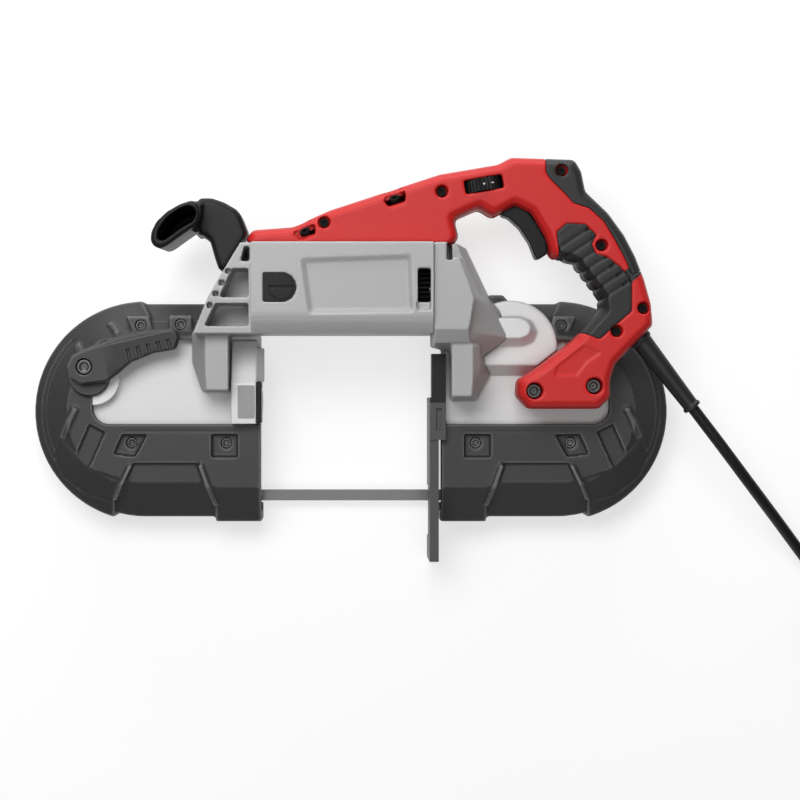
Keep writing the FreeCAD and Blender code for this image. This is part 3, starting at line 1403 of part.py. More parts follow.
# Motor
armature_end_x = first_gear_x + first_gear_width
armature_shaft = joined(shaft(shaft_radius, motor_rear_bearing_x + running_gap, armature_end_x),
                        spur_gear(first_pinion_teeth, first_module, first_gear_x, armature_end_x,
                                  first_angle))
save("armature_shaft", on_x(armature_shaft, 0, motor_axis_y, motor_axis_z))
armature = cylinder(armature_radius, armature_back_x, armature_front_x)
slot = block((armature_radius - armature_slot_depth, -armature_slot_width / 2, armature_back_x - overrun),
             (armature_radius + overrun, armature_slot_width / 2, armature_front_x + overrun))
armature_cuts = [shaft(shaft_radius, armature_back_x - overrun, armature_front_x + overrun)]
for k in range(armature_slot_count):
    armature_cuts.append(slot.rotated(Vec(0, 0, 0), up, 360 * k / armature_slot_count))
save("armature_core", on_x(without(armature, *armature_cuts), 0, motor_axis_y, motor_axis_z))
commutator = cylinder(commutator_radius, brush_x - commutator_length / 2, brush_x + commutator_length / 2)
commutator = commutator.cut(shaft(shaft_radius, bar_left_x, 0))
save("commutator", on_x(commutator, 0, motor_axis_y, motor_axis_z))
fan_end_x = fan_x + fan_width
fan_blade = block((fan_hub_radius - overrun, -fan_plate / 2, fan_x), (fan_radius, fan_plate / 2, fan_end_x))
fan_parts = [cylinder(fan_radius, fan_x, fan_x + fan_plate), cylinder(fan_hub_radius, fan_x, fan_end_x)]
fan_parts += [fan_blade.rotated(Vec(0, 0, 0), up, 360 * k / fan_blade_count) for k in range(fan_blade_count)]
fan = joined(*fan_parts).common(cylinder(fan_radius, fan_x, fan_x + fan_width))
fan = fan.cut(shaft(shaft_radius, fan_x - overrun, fan_x + fan_width + overrun))
save("fan", on_x(fan, 0, motor_axis_y, motor_axis_z))


def sector(outer, inner, low, high, half_angle, middle):
    """Part of a ring, to either side of the middle direction."""
    outer_pie = Part.makeCylinder(outer, high - low, Vec(0, 0, low), up, 2 * half_angle)
    piece = outer_pie.cut(cylinder(inner, low - overrun, high + overrun))
    return piece.rotated(Vec(0, 0, 0), up, middle - half_angle)


bore_radius = armature_radius + air_gap
yoke_inner = stator_radius - coil_thickness / 2
stator = joined(ring(stator_radius, yoke_inner, armature_back_x, armature_front_x),
                *[sector(yoke_inner + overrun, bore_radius, armature_back_x, armature_front_x,
                         stator_teeth_half_angle, middle) for middle in (90, 270)])
save("stator", on_x(stator, 0, motor_axis_y, motor_axis_z))
coils = []
coil_half_angle = 90 - coil_edge_angle
side_half = (coil_half_angle - stator_teeth_half_angle) / 2
for middle in (90, 270):
    loop = [sector(yoke_inner, bore_radius + running_gap, low, low + coil_overhang, coil_half_angle, middle)
            for low in (armature_back_x - coil_overhang, armature_front_x)]
    loop += [sector(yoke_inner, bore_radius + running_gap, armature_back_x, armature_front_x, side_half,
                    middle + sign * (stator_teeth_half_angle + side_half)) for sign in (1, -1)]
    coils.append(on_x(joined(*loop), 0, motor_axis_y, motor_axis_z))
save("field_coils", *coils)
caps = []
brushes = []
for sign in (1, -1):
    face = motor_axis_z + sign * bar_half_depth
    seat = face - sign * brush_recess_depth
    inner = seat - sign * brush_boss_height
    top = face + sign * (brush_cap_rise - brush_cap_sink)
    slot_floor = top - sign * brush_slot_depth
    cap = joined(brush_seat(brush_recess_radius - running_gap, sign, brush_recess_depth, brush_cap_sink),
                 cylinder(brush_cap_radius, min(seat, top), max(seat, top), brush_x, motor_axis_y),
                 cylinder(brush_boss_radius, min(seat, inner), max(seat, inner), brush_x, motor_axis_y))
    cap_slot = block((brush_x - brush_cap_radius, motor_axis_y - brush_slot_width / 2, min(top, slot_floor)),
                     (brush_x + brush_cap_radius, motor_axis_y + brush_slot_width / 2, max(top, slot_floor)))
    caps.append(cap.cut(cap_slot))
    start = motor_axis_z + sign * (commutator_radius + running_gap)
    brushes.append(block((brush_x - brush_width / 2, motor_axis_y - brush_depth / 2, min(start, inner)),
                         (brush_x + brush_width / 2, motor_axis_y + brush_depth / 2, max(start, inner))))
save("brush_caps", *caps)
save("carbon_brushes", *brushes)
bearings = [ring_x(motor_bearing_radius, shaft_radius + bearing_gap, place, place + motor_bearing_width,
                   motor_axis_y, motor_axis_z) for place in (motor_rear_bearing_x, motor_front_bearing_x)]
bearings += [ring_x(layshaft_bearing_radius, layshaft_radius + bearing_gap, place,
                    place + layshaft_bearing_width, layshaft_y, layshaft_z)
             for place in layshaft_bearing_places_x]
bearings.append(ring(intermediate_bearing_radius, intermediate_radius + bearing_gap, frame_back_z,
                     frame_back_z + intermediate_bearing_width, intermediate_x, layshaft_y))
save("shaft_bearings", *bearings)

# Blade, its twisted run and its guides
blade_line = blade_radius + blade_thickness / 2
blade_low_y = wheel_axis_y - blade_line
twist = math.radians(blade_twist_angle)
width_way = Vec(0, math.sin(twist), math.cos(twist))
normal_way = Vec(0, math.cos(twist), -math.sin(twist))


def blade_section(x, angle):
    turn = math.radians(angle)
    wide = Vec(0, math.sin(turn), math.cos(turn)) * (blade_width / 2)
    thick = Vec(0, math.cos(turn), -math.sin(turn)) * (blade_thickness / 2)
    centre = Vec(x, blade_low_y, blade_z)
    corners = [centre + wide + thick, centre - wide + thick, centre - wide - thick, centre + wide - thick]
    return Part.makePolygon(corners + corners[:1])


blade_back = blade_z - blade_width / 2
blade_front = blade_z + blade_width / 2
blade_parts = [block((-half_spacing, wheel_axis_y + blade_radius, blade_back),
                     (half_spacing, wheel_axis_y + blade_radius + blade_thickness, blade_front))]
for side in (-1, 1):
    half_ring = ring(blade_radius + blade_thickness, blade_radius, blade_back, blade_front,
                     side * half_spacing, wheel_axis_y)
    keep = sorted((side * half_spacing, side * (half_spacing + guard_radius)))
    blade_parts.append(half_ring.common(block((keep[0], wheel_axis_y - guard_radius, blade_back - overrun),
                                              (keep[1], wheel_axis_y + guard_radius, blade_front + overrun))))
flat_end_x = half_spacing - blade_flat_run
sections = [(-half_spacing, 0), (-flat_end_x, 0), (-guide_reach_x, blade_twist_angle),
            (guide_reach_x, blade_twist_angle), (flat_end_x, 0), (half_spacing, 0)]
for first, second in zip(sections, sections[1:]):
    blade_parts.append(Part.makeLoft([blade_section(*first), blade_section(*second)], True, True))
save("saw_blade", joined(*blade_parts))

brackets = []
roller_offset = guide_roller_radius + guide_roller_gap + blade_thickness / 2
for side, side_name in ((-1, "idler"), (1, "drive")):
    pins = []
    rollers = []
    for sign, level in ((1, "upper"), (-1, "lower")):
        centre = Vec(side * guide_x, blade_low_y, blade_z) + normal_way * (sign * roller_offset)
        start = centre - width_way * (guide_roller_length / 2)
        pin = Part.makeCylinder(guide_pin_radius, guide_pin_reach, start, width_way)
        collar = Part.makeCylinder(guide_pin_radius + overrun, guide_pin_reach,
                                   start + width_way * (guide_roller_length + running_gap), width_way)
        pins += [pin, collar]
        roller = Part.makeCylinder(guide_roller_radius, guide_roller_length, start, width_way)
        bore = Part.makeCylinder(guide_pin_radius + bearing_gap, guide_pin_reach, start, width_way)
        save(side_name + "_guide_roller_" + level, roller.cut(bore))
    plate = block((side * guide_x - guide_half_width, blade_low_y - guide_block_low, guide_block_z),
                  (side * guide_x + guide_half_width, blade_low_y + guide_block_high, frame_back_z))
    below = block((side * guide_x - 2 * guide_half_width, blade_low_y - guard_radius, 0),
                  (side * guide_x + 2 * guide_half_width, wheel_axis_y, frame_back_z))
    bracket = joined(plate, *pins).common(below)
    brackets.append(bracket)
save("guide_brackets", *brackets)

# Shoe, work light and front handle
stem_left_x = bar_right_x + running_gap
stem_right_x = bar_right_x + stem_width
shoe = joined(
    block((shoe_face_x, shoe_bottom_y, shoe_back_z),
          (shoe_face_x + shoe_thickness, shoe_top_y, shoe_front_z)),
    block((stem_left_x, stem_bottom_y, frame_front_z + running_gap),
          (stem_right_x, stem_top_y, stem_front_z)),
    block((shoe_face_x, bracket_bottom_y, bracket_back_z), (stem_right_x, shoe_top_y, stem_front_z)))
notch_low_y = blade_low_y - shoe_notch_room - shoe_travel
shoe_cuts = [block((shoe_face_x - overrun, notch_low_y, shoe_back_z - overrun),
                   (shoe_face_x + shoe_thickness + overrun, blade_low_y + shoe_notch_room, shoe_notch_z))]
slot_x = (shoe_face_x + stem_right_x) / 2 + overrun
slot_low_y = stem_slot_y - stem_slot_length / 2
shoe_cuts.append(block((slot_x - stem_slot_width / 2, slot_low_y, stem_front_z - stem_slot_depth),
                       (slot_x + stem_slot_width / 2, slot_low_y + stem_slot_length, stem_front_z + overrun)))
save("shoe_plate", without(shoe, *shoe_cuts))

light_low = photo_points(light_pixels, light_front_z)
light_left = min(x for x, y in light_low)
light_right = max(x for x, y in light_low)
light_bottom = min(y for x, y in light_low)
light_top = max(y for x, y in light_low)
lens_top = photo_point((light_pixels[0][0], lens_length_pixels[0]), light_front_z)[1]
lens_bottom = photo_point((light_pixels[0][0], lens_length_pixels[1]), light_front_z)[1]
slope_end = photo_point((light_pixels[0][0], light_slope_end_pixels), light_front_z)[1]
flank_top = photo_point((light_pixels[0][0], light_flank_top_pixels), light_top_z)[1]
slope_rise = (light_front_z - light_top_z) / (light_top - slope_end)
profile = [(light_bottom, frame_front_z), (light_top, frame_front_z), (light_top, light_top_z),
           (slope_end, light_front_z), (light_bottom, light_front_z)]
light_wire = Part.makePolygon([Vec(light_left, y, z) for y, z in profile + profile[:1]])
light_box = Part.Face(light_wire).extrude(along * (light_right - light_left))
flank_wires = []
for x, heights in ((light_right, [light_top_z + slope_rise * (light_top - y) for y in (flank_top, lens_top)]),
                   (light_right + lens_thickness, [frame_front_z + light_flank_edge] * 2)):
    corners = [Vec(x, lens_top, frame_front_z), Vec(x, flank_top, frame_front_z),
               Vec(x, flank_top, heights[0]), Vec(x, lens_top, heights[1])]
    flank_wires.append(Part.makePolygon(corners + corners[:1]))
save("led_housing", joined(light_box, Part.makeLoft(flank_wires, True, True)))
save("led_lens", block((light_right, lens_bottom, frame_front_z),
                       (light_right + lens_thickness, lens_top, light_front_z)))

grip_points = photo_points(grip_pixels, grip_near_z)
grip_levels = [(grip_far_z, grip_taper + grip_edge), (grip_far_z + grip_edge, grip_taper),
               (grip_near_z - grip_edge, 0), (grip_near_z, grip_edge)]
grip = layered(grip_points, grip_corner, grip_levels)
neck_points = photo_points(neck_pixels, pier_front_z)
neck_points[0] = pier_outline[1]
neck_points[-1] = tuple(high + neck_reach_share * (high - low)
                        for low, high in zip(pier_outline[1], pier_outline[0]))
neck_low = handle_axis_z - neck_half_width
neck_high = handle_axis_z + neck_half_width
neck = layered(neck_points, neck_corner, [(neck_low, neck_edge), (neck_low + neck_edge, 0),
                                          (neck_high - neck_edge, 0), (neck_high, neck_edge)], 0)
grip_bore = prism(photo_points(grip_bore_pixels, grip_near_z), grip_near_z - grip_bore_depth,
                  grip_near_z + overrun, grip_corner)
save("front_handle", joined(grip, neck).cut(grip_bore))

# Strain relief and cord
relief = joined(Part.makeCylinder(relief_collar_radius, relief_collar_length, relief_inner, relief_direction),
                Part.makeCone(relief_root_radius, relief_tip_radius, (relief_tip - relief_root).Length,
                              relief_root, relief_direction),
                Part.makeCylinder(relief_lip_radius, relief_lip_length,
                                  relief_tip - relief_direction * relief_lip_length, relief_direction))
relief_cuts = [Part.makeCylinder(cord_radius, (relief_tip - relief_inner).Length + 2 * overrun,
                                 relief_inner - relief_direction * overrun, relief_direction)]
save("strain_relief", without(relief, *relief_cuts))

lead_points = [tuple(relief_inner), tuple(relief_tip + relief_direction * relief_run)] + cord_route
coil_start = Vec(*cord_route[-1])
entry = (coil_start - Vec(*cord_route[-2])).normalize()
lead_edges, lead_radii = tube_path(lead_points)
save("cord_lead", tube(lead_edges, cord_radius))
print("cord bend radii", [round(radius, 1) for radius in lead_radii])

coil_corner = coil_start + entry * coil_end_run
left = up.cross(entry)
coil_centre = coil_corner + left * coil_outer_radius
start_angle = math.atan2(-left.y, -left.x)
middle_turn = coil_turns / 2


def coil_place(turns):
    """The cord's centre line after that many turns: in along the bench, then out on top."""
    away = math.hypot(turns - middle_turn, coil_reverse_share)
    radius = coil_outer_radius - coil_pitch * (math.hypot(middle_turn, coil_reverse_share) - away)
    climb = min(1, max(0, (turns - middle_turn) / coil_climb_turns + 0.5))
    rise = coil_layer_rise * climb * climb * (3 - 2 * climb)
    angle = start_angle + 2 * math.pi * turns
    return coil_centre + Vec(radius * math.cos(angle), radius * math.sin(angle), rise)


def coil_tangent(turns):
    ahead = coil_place(min(turns + coil_tangent_step, coil_turns))
    return (ahead - coil_place(max(turns - coil_tangent_step, 0))).normalize()


coil_steps = int(coil_turns * coil_parts_per_turn)
places = [coil_place(k / coil_parts_per_turn) for k in range(coil_steps + 1)]
tangents = [coil_tangent(k / coil_parts_per_turn) for k in range(coil_steps + 1)]
tangents[0] = entry
tangents[-1] = Vec(tangents[-1].x, tangents[-1].y, 0).normalize()
coil_edges = [Part.LineSegment(coil_start, places[0]).toShape()]
for k in range(coil_steps):
    coil_edges += biarc(places[k], tangents[k], places[k + 1], tangents[k + 1])
tail_way = tangents[-1]
tail_end = places[-1] + tail_way * tail_run
coil_edges.append(Part.LineSegment(places[-1], tail_end).toShape())
save("cord_coil", tube(coil_edges, cord_radius))
samples = [coil_place(k / coil_samples_per_turn) for k in range(int(coil_turns * coil_samples_per_turn) + 1)]
half_turn = coil_samples_per_turn // 2
gap = min((a - b).Length for i, a in enumerate(samples) for b in samples[i + half_turn:]) - cord_diameter
print("coil least self gap", round(gap, 2))
total = sum(edge.Length for edge in lead_edges + coil_edges)
print("cord length", round(total))

tie_angle = start_angle + 2 * math.pi * tie_turns
outer_place = coil_place(tie_turns)
inner_place = coil_place(middle_turn - tie_turns)
outer_reach = (outer_place - coil_centre).Length + cord_radius + tie_room
inner_reach = (inner_place - coil_centre).Length - cord_radius - tie_room
low_z = coil_centre.z - cord_radius - tie_seat
high_z = coil_centre.z + coil_layer_rise + cord_radius + tie_seat
tie = block((inner_reach - tie_wall, -tie_width / 2, low_z - tie_wall),
            (outer_reach + tie_wall, tie_width / 2, high_z + tie_wall))
tie = tie.cut(block((inner_reach, -tie_width, low_z), (outer_reach, tie_width, high_z)))
tie.rotate(Vec(0, 0, 0), up, math.degrees(tie_angle))
tie.translate(Vec(coil_centre.x, coil_centre.y, 0))
save("cord_tie", tie)

plug_points = [(plug_neck_length, -plug_width / 2), (plug_neck_length + plug_length, -plug_width / 2),
               (plug_neck_length + plug_length, plug_width / 2), (plug_neck_length, plug_width / 2)]
plug = joined(bar_x(plug_neck_radius, 0, plug_neck_length + overrun, 0, 0),
              prism(plug_points, -plug_height / 2, plug_height / 2, plug_corner))
pins = []
pin_start = plug_neck_length + plug_length
for sign in (1, -1):
    centre = sign * plug_pin_spacing / 2
    pins.append(block((pin_start, centre - plug_pin_thickness / 2, -plug_pin_width / 2),
                      (pin_start + plug_pin_length, centre + plug_pin_thickness / 2, plug_pin_width / 2)))
plug_turn = math.degrees(math.atan2(tail_way.y, tail_way.x))
for piece in [plug] + pins:
    piece.rotate(Vec(0, 0, 0), up, plug_turn)
    piece.translate(tail_end)
save("plug", plug)
save("plug_blades", *pins)
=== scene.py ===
import itertools
import json
import math

import bmesh
import bpy
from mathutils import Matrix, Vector

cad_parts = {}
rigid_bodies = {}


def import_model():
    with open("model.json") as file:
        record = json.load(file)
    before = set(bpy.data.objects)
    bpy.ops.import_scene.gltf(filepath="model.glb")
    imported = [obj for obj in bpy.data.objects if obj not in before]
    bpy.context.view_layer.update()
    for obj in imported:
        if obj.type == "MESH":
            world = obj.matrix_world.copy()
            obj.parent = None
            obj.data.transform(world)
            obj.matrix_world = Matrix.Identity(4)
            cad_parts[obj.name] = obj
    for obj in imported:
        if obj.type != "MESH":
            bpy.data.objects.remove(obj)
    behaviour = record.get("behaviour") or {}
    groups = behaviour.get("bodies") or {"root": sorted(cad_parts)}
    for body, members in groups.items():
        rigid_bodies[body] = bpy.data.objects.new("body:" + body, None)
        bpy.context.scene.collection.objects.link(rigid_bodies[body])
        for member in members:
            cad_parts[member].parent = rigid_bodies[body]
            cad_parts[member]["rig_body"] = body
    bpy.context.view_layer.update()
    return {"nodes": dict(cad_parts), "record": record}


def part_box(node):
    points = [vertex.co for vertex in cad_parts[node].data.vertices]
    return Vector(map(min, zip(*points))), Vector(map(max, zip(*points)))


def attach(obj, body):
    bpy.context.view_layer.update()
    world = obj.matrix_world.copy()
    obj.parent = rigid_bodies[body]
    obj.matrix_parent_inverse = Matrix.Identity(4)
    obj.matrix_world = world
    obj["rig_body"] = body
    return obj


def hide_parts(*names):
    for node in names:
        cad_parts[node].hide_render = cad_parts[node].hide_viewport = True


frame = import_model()

# Sizes are in metres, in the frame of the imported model.
nodes = frame["nodes"]
scene = bpy.context.scene

# Camera: straight above the saw, as far away as the photograph's perspective needs
camera_height = 1.548
camera_y = -0.0321
camera_lens = 81.1
camera_sensor = 36.0
camera_shift = 0.06125

# Cord: the same route as the solid's, then two layers of turns
cord_diameter = 0.0094
cord_start = (0.23292, 0.02162, 0.076)
cord_out = (0.29264, -0.05607, 0.076)
cord_route = [
    (0.3293, -0.1014, 0.060), (0.3600, -0.1362, 0.035), (0.3805, -0.1601, 0.018),
    (0.4020, -0.1849, 0.0065), (0.4320, -0.2195, 0.0065),
]
cord_end_run = 0.008
coil_outer_radius = 0.0695
coil_pitch = 0.0103
coil_layer_rise = 0.0102
coil_turns = 6.0
coil_reverse_share = 0.12
coil_climb_turns = 0.36
coil_points_per_turn = 16
cord_tail = 0.046
cord_tail_shares = (0.5, 1.0)
cord_round_steps = 5
cord_run_steps = 6

# Moulded pieces with rounded edges: the grid of their new mesh, and how often it is smoothed
moulded_pieces = {
    "handle_shell_near": (0.0009, 4), "handle_shell_far": (0.0011, 4), "palm_grip": (0.0008, 8),
    "trigger": (0.0006, 24), "front_handle": (0.0008, 28), "plug": (0.0008, 8), "strain_relief": (0.0006, 4),
    "idler_guard": (0.0012, 2), "drive_guard": (0.0012, 2), "tension_lever": (0.0005, 4),
    "idler_frame": (0.0010, 2), "motor_housing": (0.0010, 2), "gear_case": (0.0010, 2),
    "gear_case_cover": (0.0009, 4), "led_housing": (0.0006, 4),
}
smoothing = 0.5
merge_distance = 1e-6

# Front handle: rods that fill the creases between its cross grip and its neck, each x, y and radius
handle_fills = ((-0.1232, 0.1236, 0.0036), (-0.1240, 0.1046, 0.0030))
handle_fill_low_z = 0.046
handle_fill_high_z = 0.108
handle_fill_sides = 24

# Rear handle: the patch of black that joins the finger grip to the palm grip below the red wedge
bridge_outline = (
    (0.2215, 0.0735), (0.2333, 0.0758), (0.2352, 0.0706), (0.2278, 0.0642),
    (0.2262, 0.0615), (0.2212, 0.0640), (0.2193, 0.0700),
)
bridge_low_z = 0.080

# Bar: its lower front edge rounds over instead of breaking at an angle
bar_front_z = 0.110
bar_bottom_y = 0.0213
bar_chamfer_y = 0.012
bar_chamfer_z = 0.007
bar_round_y = 0.018
bar_round_depth = 0.022

# Gear case: the channel that its sliding shoe runs in stays open, with room round the stem
channel_low = (0.0600, -0.0600, 0.0438)
channel_high = (0.0790, 0.0318, 0.0626)
box_faces = ((0, 1, 3, 2), (4, 6, 7, 5), (0, 4, 5, 1), (2, 3, 7, 6), (0, 2, 6, 4), (1, 5, 7, 3))

# Tension lever: its top falls away on both sides of a ridge
lever_ridge_start = (-0.2053, 0.0113)
lever_ridge_end = (-0.1464, 0.0252)
lever_top_z = 0.0655
lever_upper_slope = 0.42
lever_lower_slope = 0.14
lever_lower_fade = 0.010

# Finger grip: ribs across the grip's own axis
finger_grid = 0.0007
finger_passes = 6
rib_start = (0.1790, 0.1084, 0.076)
rib_end = (0.2160, 0.0526, 0.076)
rib_pitch = 0.0089
rib_depth = 0.0016
rib_fade = 0.004
rib_front_share = 0.4
slot_near = 0.0062
slot_far = 0.0120
slot_depth = 0.0014
slot_edge_gain = 1400.0
slot_middle = 0.5
slot_sharpness = 5.0
rib_sharpness = 1.6
rib_outward_gain = 3.0
finger_side_gain = -1.4

# Blade: a strip round both wheels, twisted between its guides, with teeth along its work edge
wheel_half_spacing = 0.1730
wheel_axis_y = -0.0417
blade_line_radius = 0.0713
blade_z = 0.0155
blade_width = 0.0127
blade_thickness = 0.0006
blade_twist = math.radians(52.0)
blade_guide_x = 0.092
blade_flat_run = 0.016
blade_arc_steps = 40
blade_twist_steps = 12
tooth_pitch = 0.0018
tooth_height = 0.0009
tooth_set_share = 1.5
tooth_tip_share = 0.08
tooth_root_share = 0.5

# Screws with hexagon sockets: head height and shank radius
screw_sizes = {
    "guard_screws": (0.0036, 0.0020), "foot_screws": (0.0050, 0.0030),
    "tension_lever_screw": (0.0035, 0.0020),
}
socket_radius_share = 0.52
socket_depth_share = 0.6
screw_sides = 32
head_taper_shares = dict(Radius_Top=0.80, Radius_Bottom=1.55, Depth=1.2)
socket_mouth_shares = dict(Radius_Top=0.9, Radius_Bottom=0.1, Depth=1.0)
socket_mouth_lift_share = 0.3

# Vent: slats across the opening in the bar, with a dark back
vent_low = (0.0536, 0.0463, 0.0880)
vent_high = (0.0636, 0.0730, 0.0945)
vent_slat_count = 7
vent_slat_thickness = 0.0011
vent_slat_tilt = math.radians(35.0)
vent_slat_depth_share = 0.8

# Work light: the bare plate on its face, the black bezel and the lens that looks into the throat
face_plate_low = (-0.0932, -0.0472)
face_plate_high = (-0.0793, -0.0200)
face_plate_z = 0.0660
face_plate_height = 0.0004
face_plate_corner = 0.0012
face_plate_corner_turns = (0, 30, 60, 90)
bezel_share = 0.72
bezel_edge = 0.0008
bezel_edge_steps = 2
lens_margin = 0.0045
lens_seat = 0.0002
lens_points = 48
lens_rings = 4
lens_squareness = 0.5

# Speed dial: two light marks on its rim, each an angle in degrees, half its width and half its length
dial_centre = (0.10704, 0.14174, 0.0846)
dial_radius = 0.015
dial_tilt = math.radians(10.0)
dial_marks = ((0.0, 0.0008, 0.0008), (28.0, 0.0016, 0.0005))
dial_mark_height = 0.0003
dial_mark_sides = 16
dial_mark_ring_shares = ((1.0, -1.0), (1.0, 0.5), (0.8, 1.0))

# Colours, linear
cast_grey = (0.36, 0.362, 0.364)
plate_grey = (0.66, 0.663, 0.667)
shell_red = (0.54, 0.016, 0.015)
rubber_black = (0.012, 0.012, 0.013)
guard_black = (0.026, 0.0265, 0.027)
plastic_black = (0.007, 0.007, 0.0075)
oxide_black = (0.10, 0.10, 0.102)
shoe_grey = (0.075, 0.076, 0.078)
bright_grey = (0.58, 0.58, 0.58)
blade_grey = (0.42, 0.42, 0.425)
wheel_grey = (0.36, 0.37, 0.38)
iron_grey = (0.09, 0.09, 0.10)
copper_brown = (0.55, 0.24, 0.11)
carbon_black = (0.006, 0.006, 0.006)
light_grey = (0.30, 0.302, 0.305)
lens_white = (0.80, 0.82, 0.84)
mark_white = (0.62, 0.62, 0.60)
cord_black = (0.008, 0.008, 0.0085)
brass_yellow = (0.62, 0.47, 0.18)
floor_white = (0.45, 0.45, 0.45)
bright_edge = (0.75, 0.75, 0.76)
dark_edge = (0.07, 0.07, 0.07)
red_edge = (0.62, 0.04, 0.036)
guard_edge = (0.22, 0.22, 0.22)
oxide_edge = (0.35, 0.35, 0.35)
shoe_edge = (0.2, 0.2, 0.2)
blade_edge = (0.5, 0.5, 0.5)

# Surfaces: how far tone and roughness swing, how much the lighter edges (partly wear, partly a painted
# highlight) and the painted shade in hollows differ, and the height of the grain
speckle_gain = 4.0
mottle_gain = 3.0
roughness_swing = 0.16
worn_and_lit_edge_share = 1.6
hollow_shade_share = 0.3
grain_height = 0.0002
flat_pointiness = 0.5
pointiness_margin = 0.005
casting_split_z = 0.0455
shoe_split_y = -0.034
split_softness = 0.0008
edge_samples = 4
edge_patch_scale = 90.0
edge_patch_detail = 4.0
grain_detail = 2.0
mottle_detail = 5.0
mottle_roughness = 0.6
lens_specular = 0.6
lens_grain = 900.0
lens_mottle = 30.0
lens_cloud_share = 0.9
lens_roughness = 0.08
lens_roughness_swing = 0.1

# Floor, and lamps with their place, target, size and power in watts
floor_half = 3.0
floor_lift = 0.61
floor_roughness = 0.9
floor_specular = 0.1
lamp_target = (0, 0, 0.05)
lamps = {
    "key": ((-0.30, 0.70, 1.60), lamp_target, (1.0, 0.8), 19),
    "top_strip": ((0.0, 1.60, 0.35), lamp_target, (2.2, 0.3), 20),
    "front_fill": ((0.20, -0.60, 2.10), lamp_target, (1.4, 0.8), 9),
    "left_fill": ((-1.20, 0.30, 1.80), lamp_target, (1.2, 1.0), 5),
    "low_strip": ((0.0, -1.75, 0.50), (0, 0, 0.03), (2.2, 0.6), 1.8),
}
world_strength = 0.09


# Shares

def clamp(value):
    return min(1.0, max(0.0, value))


def ease(share):
    """A share from 0 to 1 that starts and ends gently."""
    return share * share * (3 - 2 * share)


# Mesh helpers

def add_object(name, data):
    piece = bpy.data.objects.new(name, data)
    scene.collection.objects.link(piece)
    return piece


def settle(piece):
    """The piece keeps its evaluated shape as a plain mesh, with no modifiers left."""
    depsgraph = bpy.context.evaluated_depsgraph_get()
    mesh = bpy.data.meshes.new_from_object(piece.evaluated_get(depsgraph))
    piece.modifiers.clear()
    piece.data = mesh
    mesh.name = piece.name
    return piece


def merged_copy(name, node):
    """The shape of a solid as a mesh of its own, its loose triangles joined."""
    mesh = bpy.data.meshes.new(name)
    build = bmesh.new()
    build.from_mesh(nodes[node].data)
    bmesh.ops.remove_doubles(build, verts=build.verts, dist=merge_distance)
    build.to_mesh(mesh)
    build.free()
    return add_object(name, mesh)


def add_rod(build, x, y, radius, low_z, high_z):
    """A rod along Z, added to a shape that is put on a grid afterwards."""
    rod = bmesh.ops.create_cone(build, cap_ends=True, segments=handle_fill_sides, radius1=radius,
                                radius2=radius, depth=high_z - low_z)
    for vertex in rod["verts"]:
        vertex.co += Vector((x, y, (low_z + high_z) / 2))


def moulded_copy(name, node, grid, passes, rods=()):
    """A solid's shape on a fine grid, with its edges rounded and its creases filled by rods."""
    piece = merged_copy(name, node)
    build = bmesh.new()
    build.from_mesh(piece.data)
    for x, y, radius in rods:
        add_rod(build, x, y, radius, handle_fill_low_z, handle_fill_high_z)
    build.to_mesh(piece.data)
    build.free()
    remesh = piece.modifiers.new("grid", "REMESH")
    remesh.mode = "VOXEL"
    remesh.voxel_size = grid
    remesh.use_smooth_shade = True
    smooth = piece.modifiers.new("rounding", "SMOOTH")
    smooth.factor = smoothing
    smooth.iterations = passes
    return settle(piece)


def islands(node):
    """The lowest and highest corners of each separate solid in a node."""
    build = bmesh.new()
    build.from_mesh(nodes[node].data)
    bmesh.ops.remove_doubles(build, verts=build.verts, dist=merge_distance)
    left = set(build.verts)
    boxes = []
    while left:
        front = [left.pop()]
        found = []
        while front:
            vertex = front.pop()
            found.append(vertex.co.copy())
            for edge in vertex.link_edges:
                other = edge.other_vert(vertex)
                if other in left:
                    left.remove(other)
                    front.append(other)
        boxes.append((Vector([min(place[axis] for place in found) for axis in range(3)]),
                      Vector([max(place[axis] for place in found) for axis in range(3)])))
    build.free()
    return boxes


def mesh_from(name, places, faces, edges=()):
    mesh = bpy.data.meshes.new(name)
    mesh.from_pydata([tuple(place) for place in places], list(edges), faces)
    mesh.validate()
    return mesh


def skin(build, loops):
    """Faces between rings of points that lie one above the other, and over both ends."""
    faces = [build.faces.new((low[k - 1], low[k], high[k], high[k - 1]))
             for low, high in zip(loops, loops[1:]) for k in range(len(low))]
    return faces + [build.faces.new(loops[-1]), build.faces.new(loops[0][::-1])]


def closed_object(name, build):
    """A finished shape as an object whose faces point outwards."""
    bmesh.ops.recalc_face_normals(build, faces=build.faces)
    mesh = bpy.data.meshes.new(name)
    build.to_mesh(mesh)
    build.free()
    return add_object(name, mesh)


def give_values(mesh, name, kind, values):
    """A value at each point of a mesh, for a node tree to read."""
    attribute = mesh.attributes.new(name, kind, "POINT")
    for item, value in zip(attribute.data, values):
        if kind == "FLOAT_VECTOR":
            item.vector = value
        else:
            item.value = value


# Geometry node helpers

def new_tree(name, inputs):
    """A geometry node tree with a shape and named inputs in, and a shape out."""
    tree = bpy.data.node_groups.new(name, "GeometryNodeTree")
    tree.interface.new_socket("Geometry", in_out="INPUT", socket_type="NodeSocketGeometry")
    for input_name, kind in inputs + [("Material", "Material")]:
        tree.interface.new_socket(input_name, in_out="INPUT", socket_type="NodeSocket" + kind)
    tree.interface.new_socket("Geometry", in_out="OUTPUT", socket_type="NodeSocketGeometry")
    return tree, tree.nodes.new("NodeGroupInput").outputs


def feed(tree, socket, value):
    if isinstance(value, bpy.types.NodeSocket):
        tree.links.new(value, socket)
    else:
        socket.default_value = value


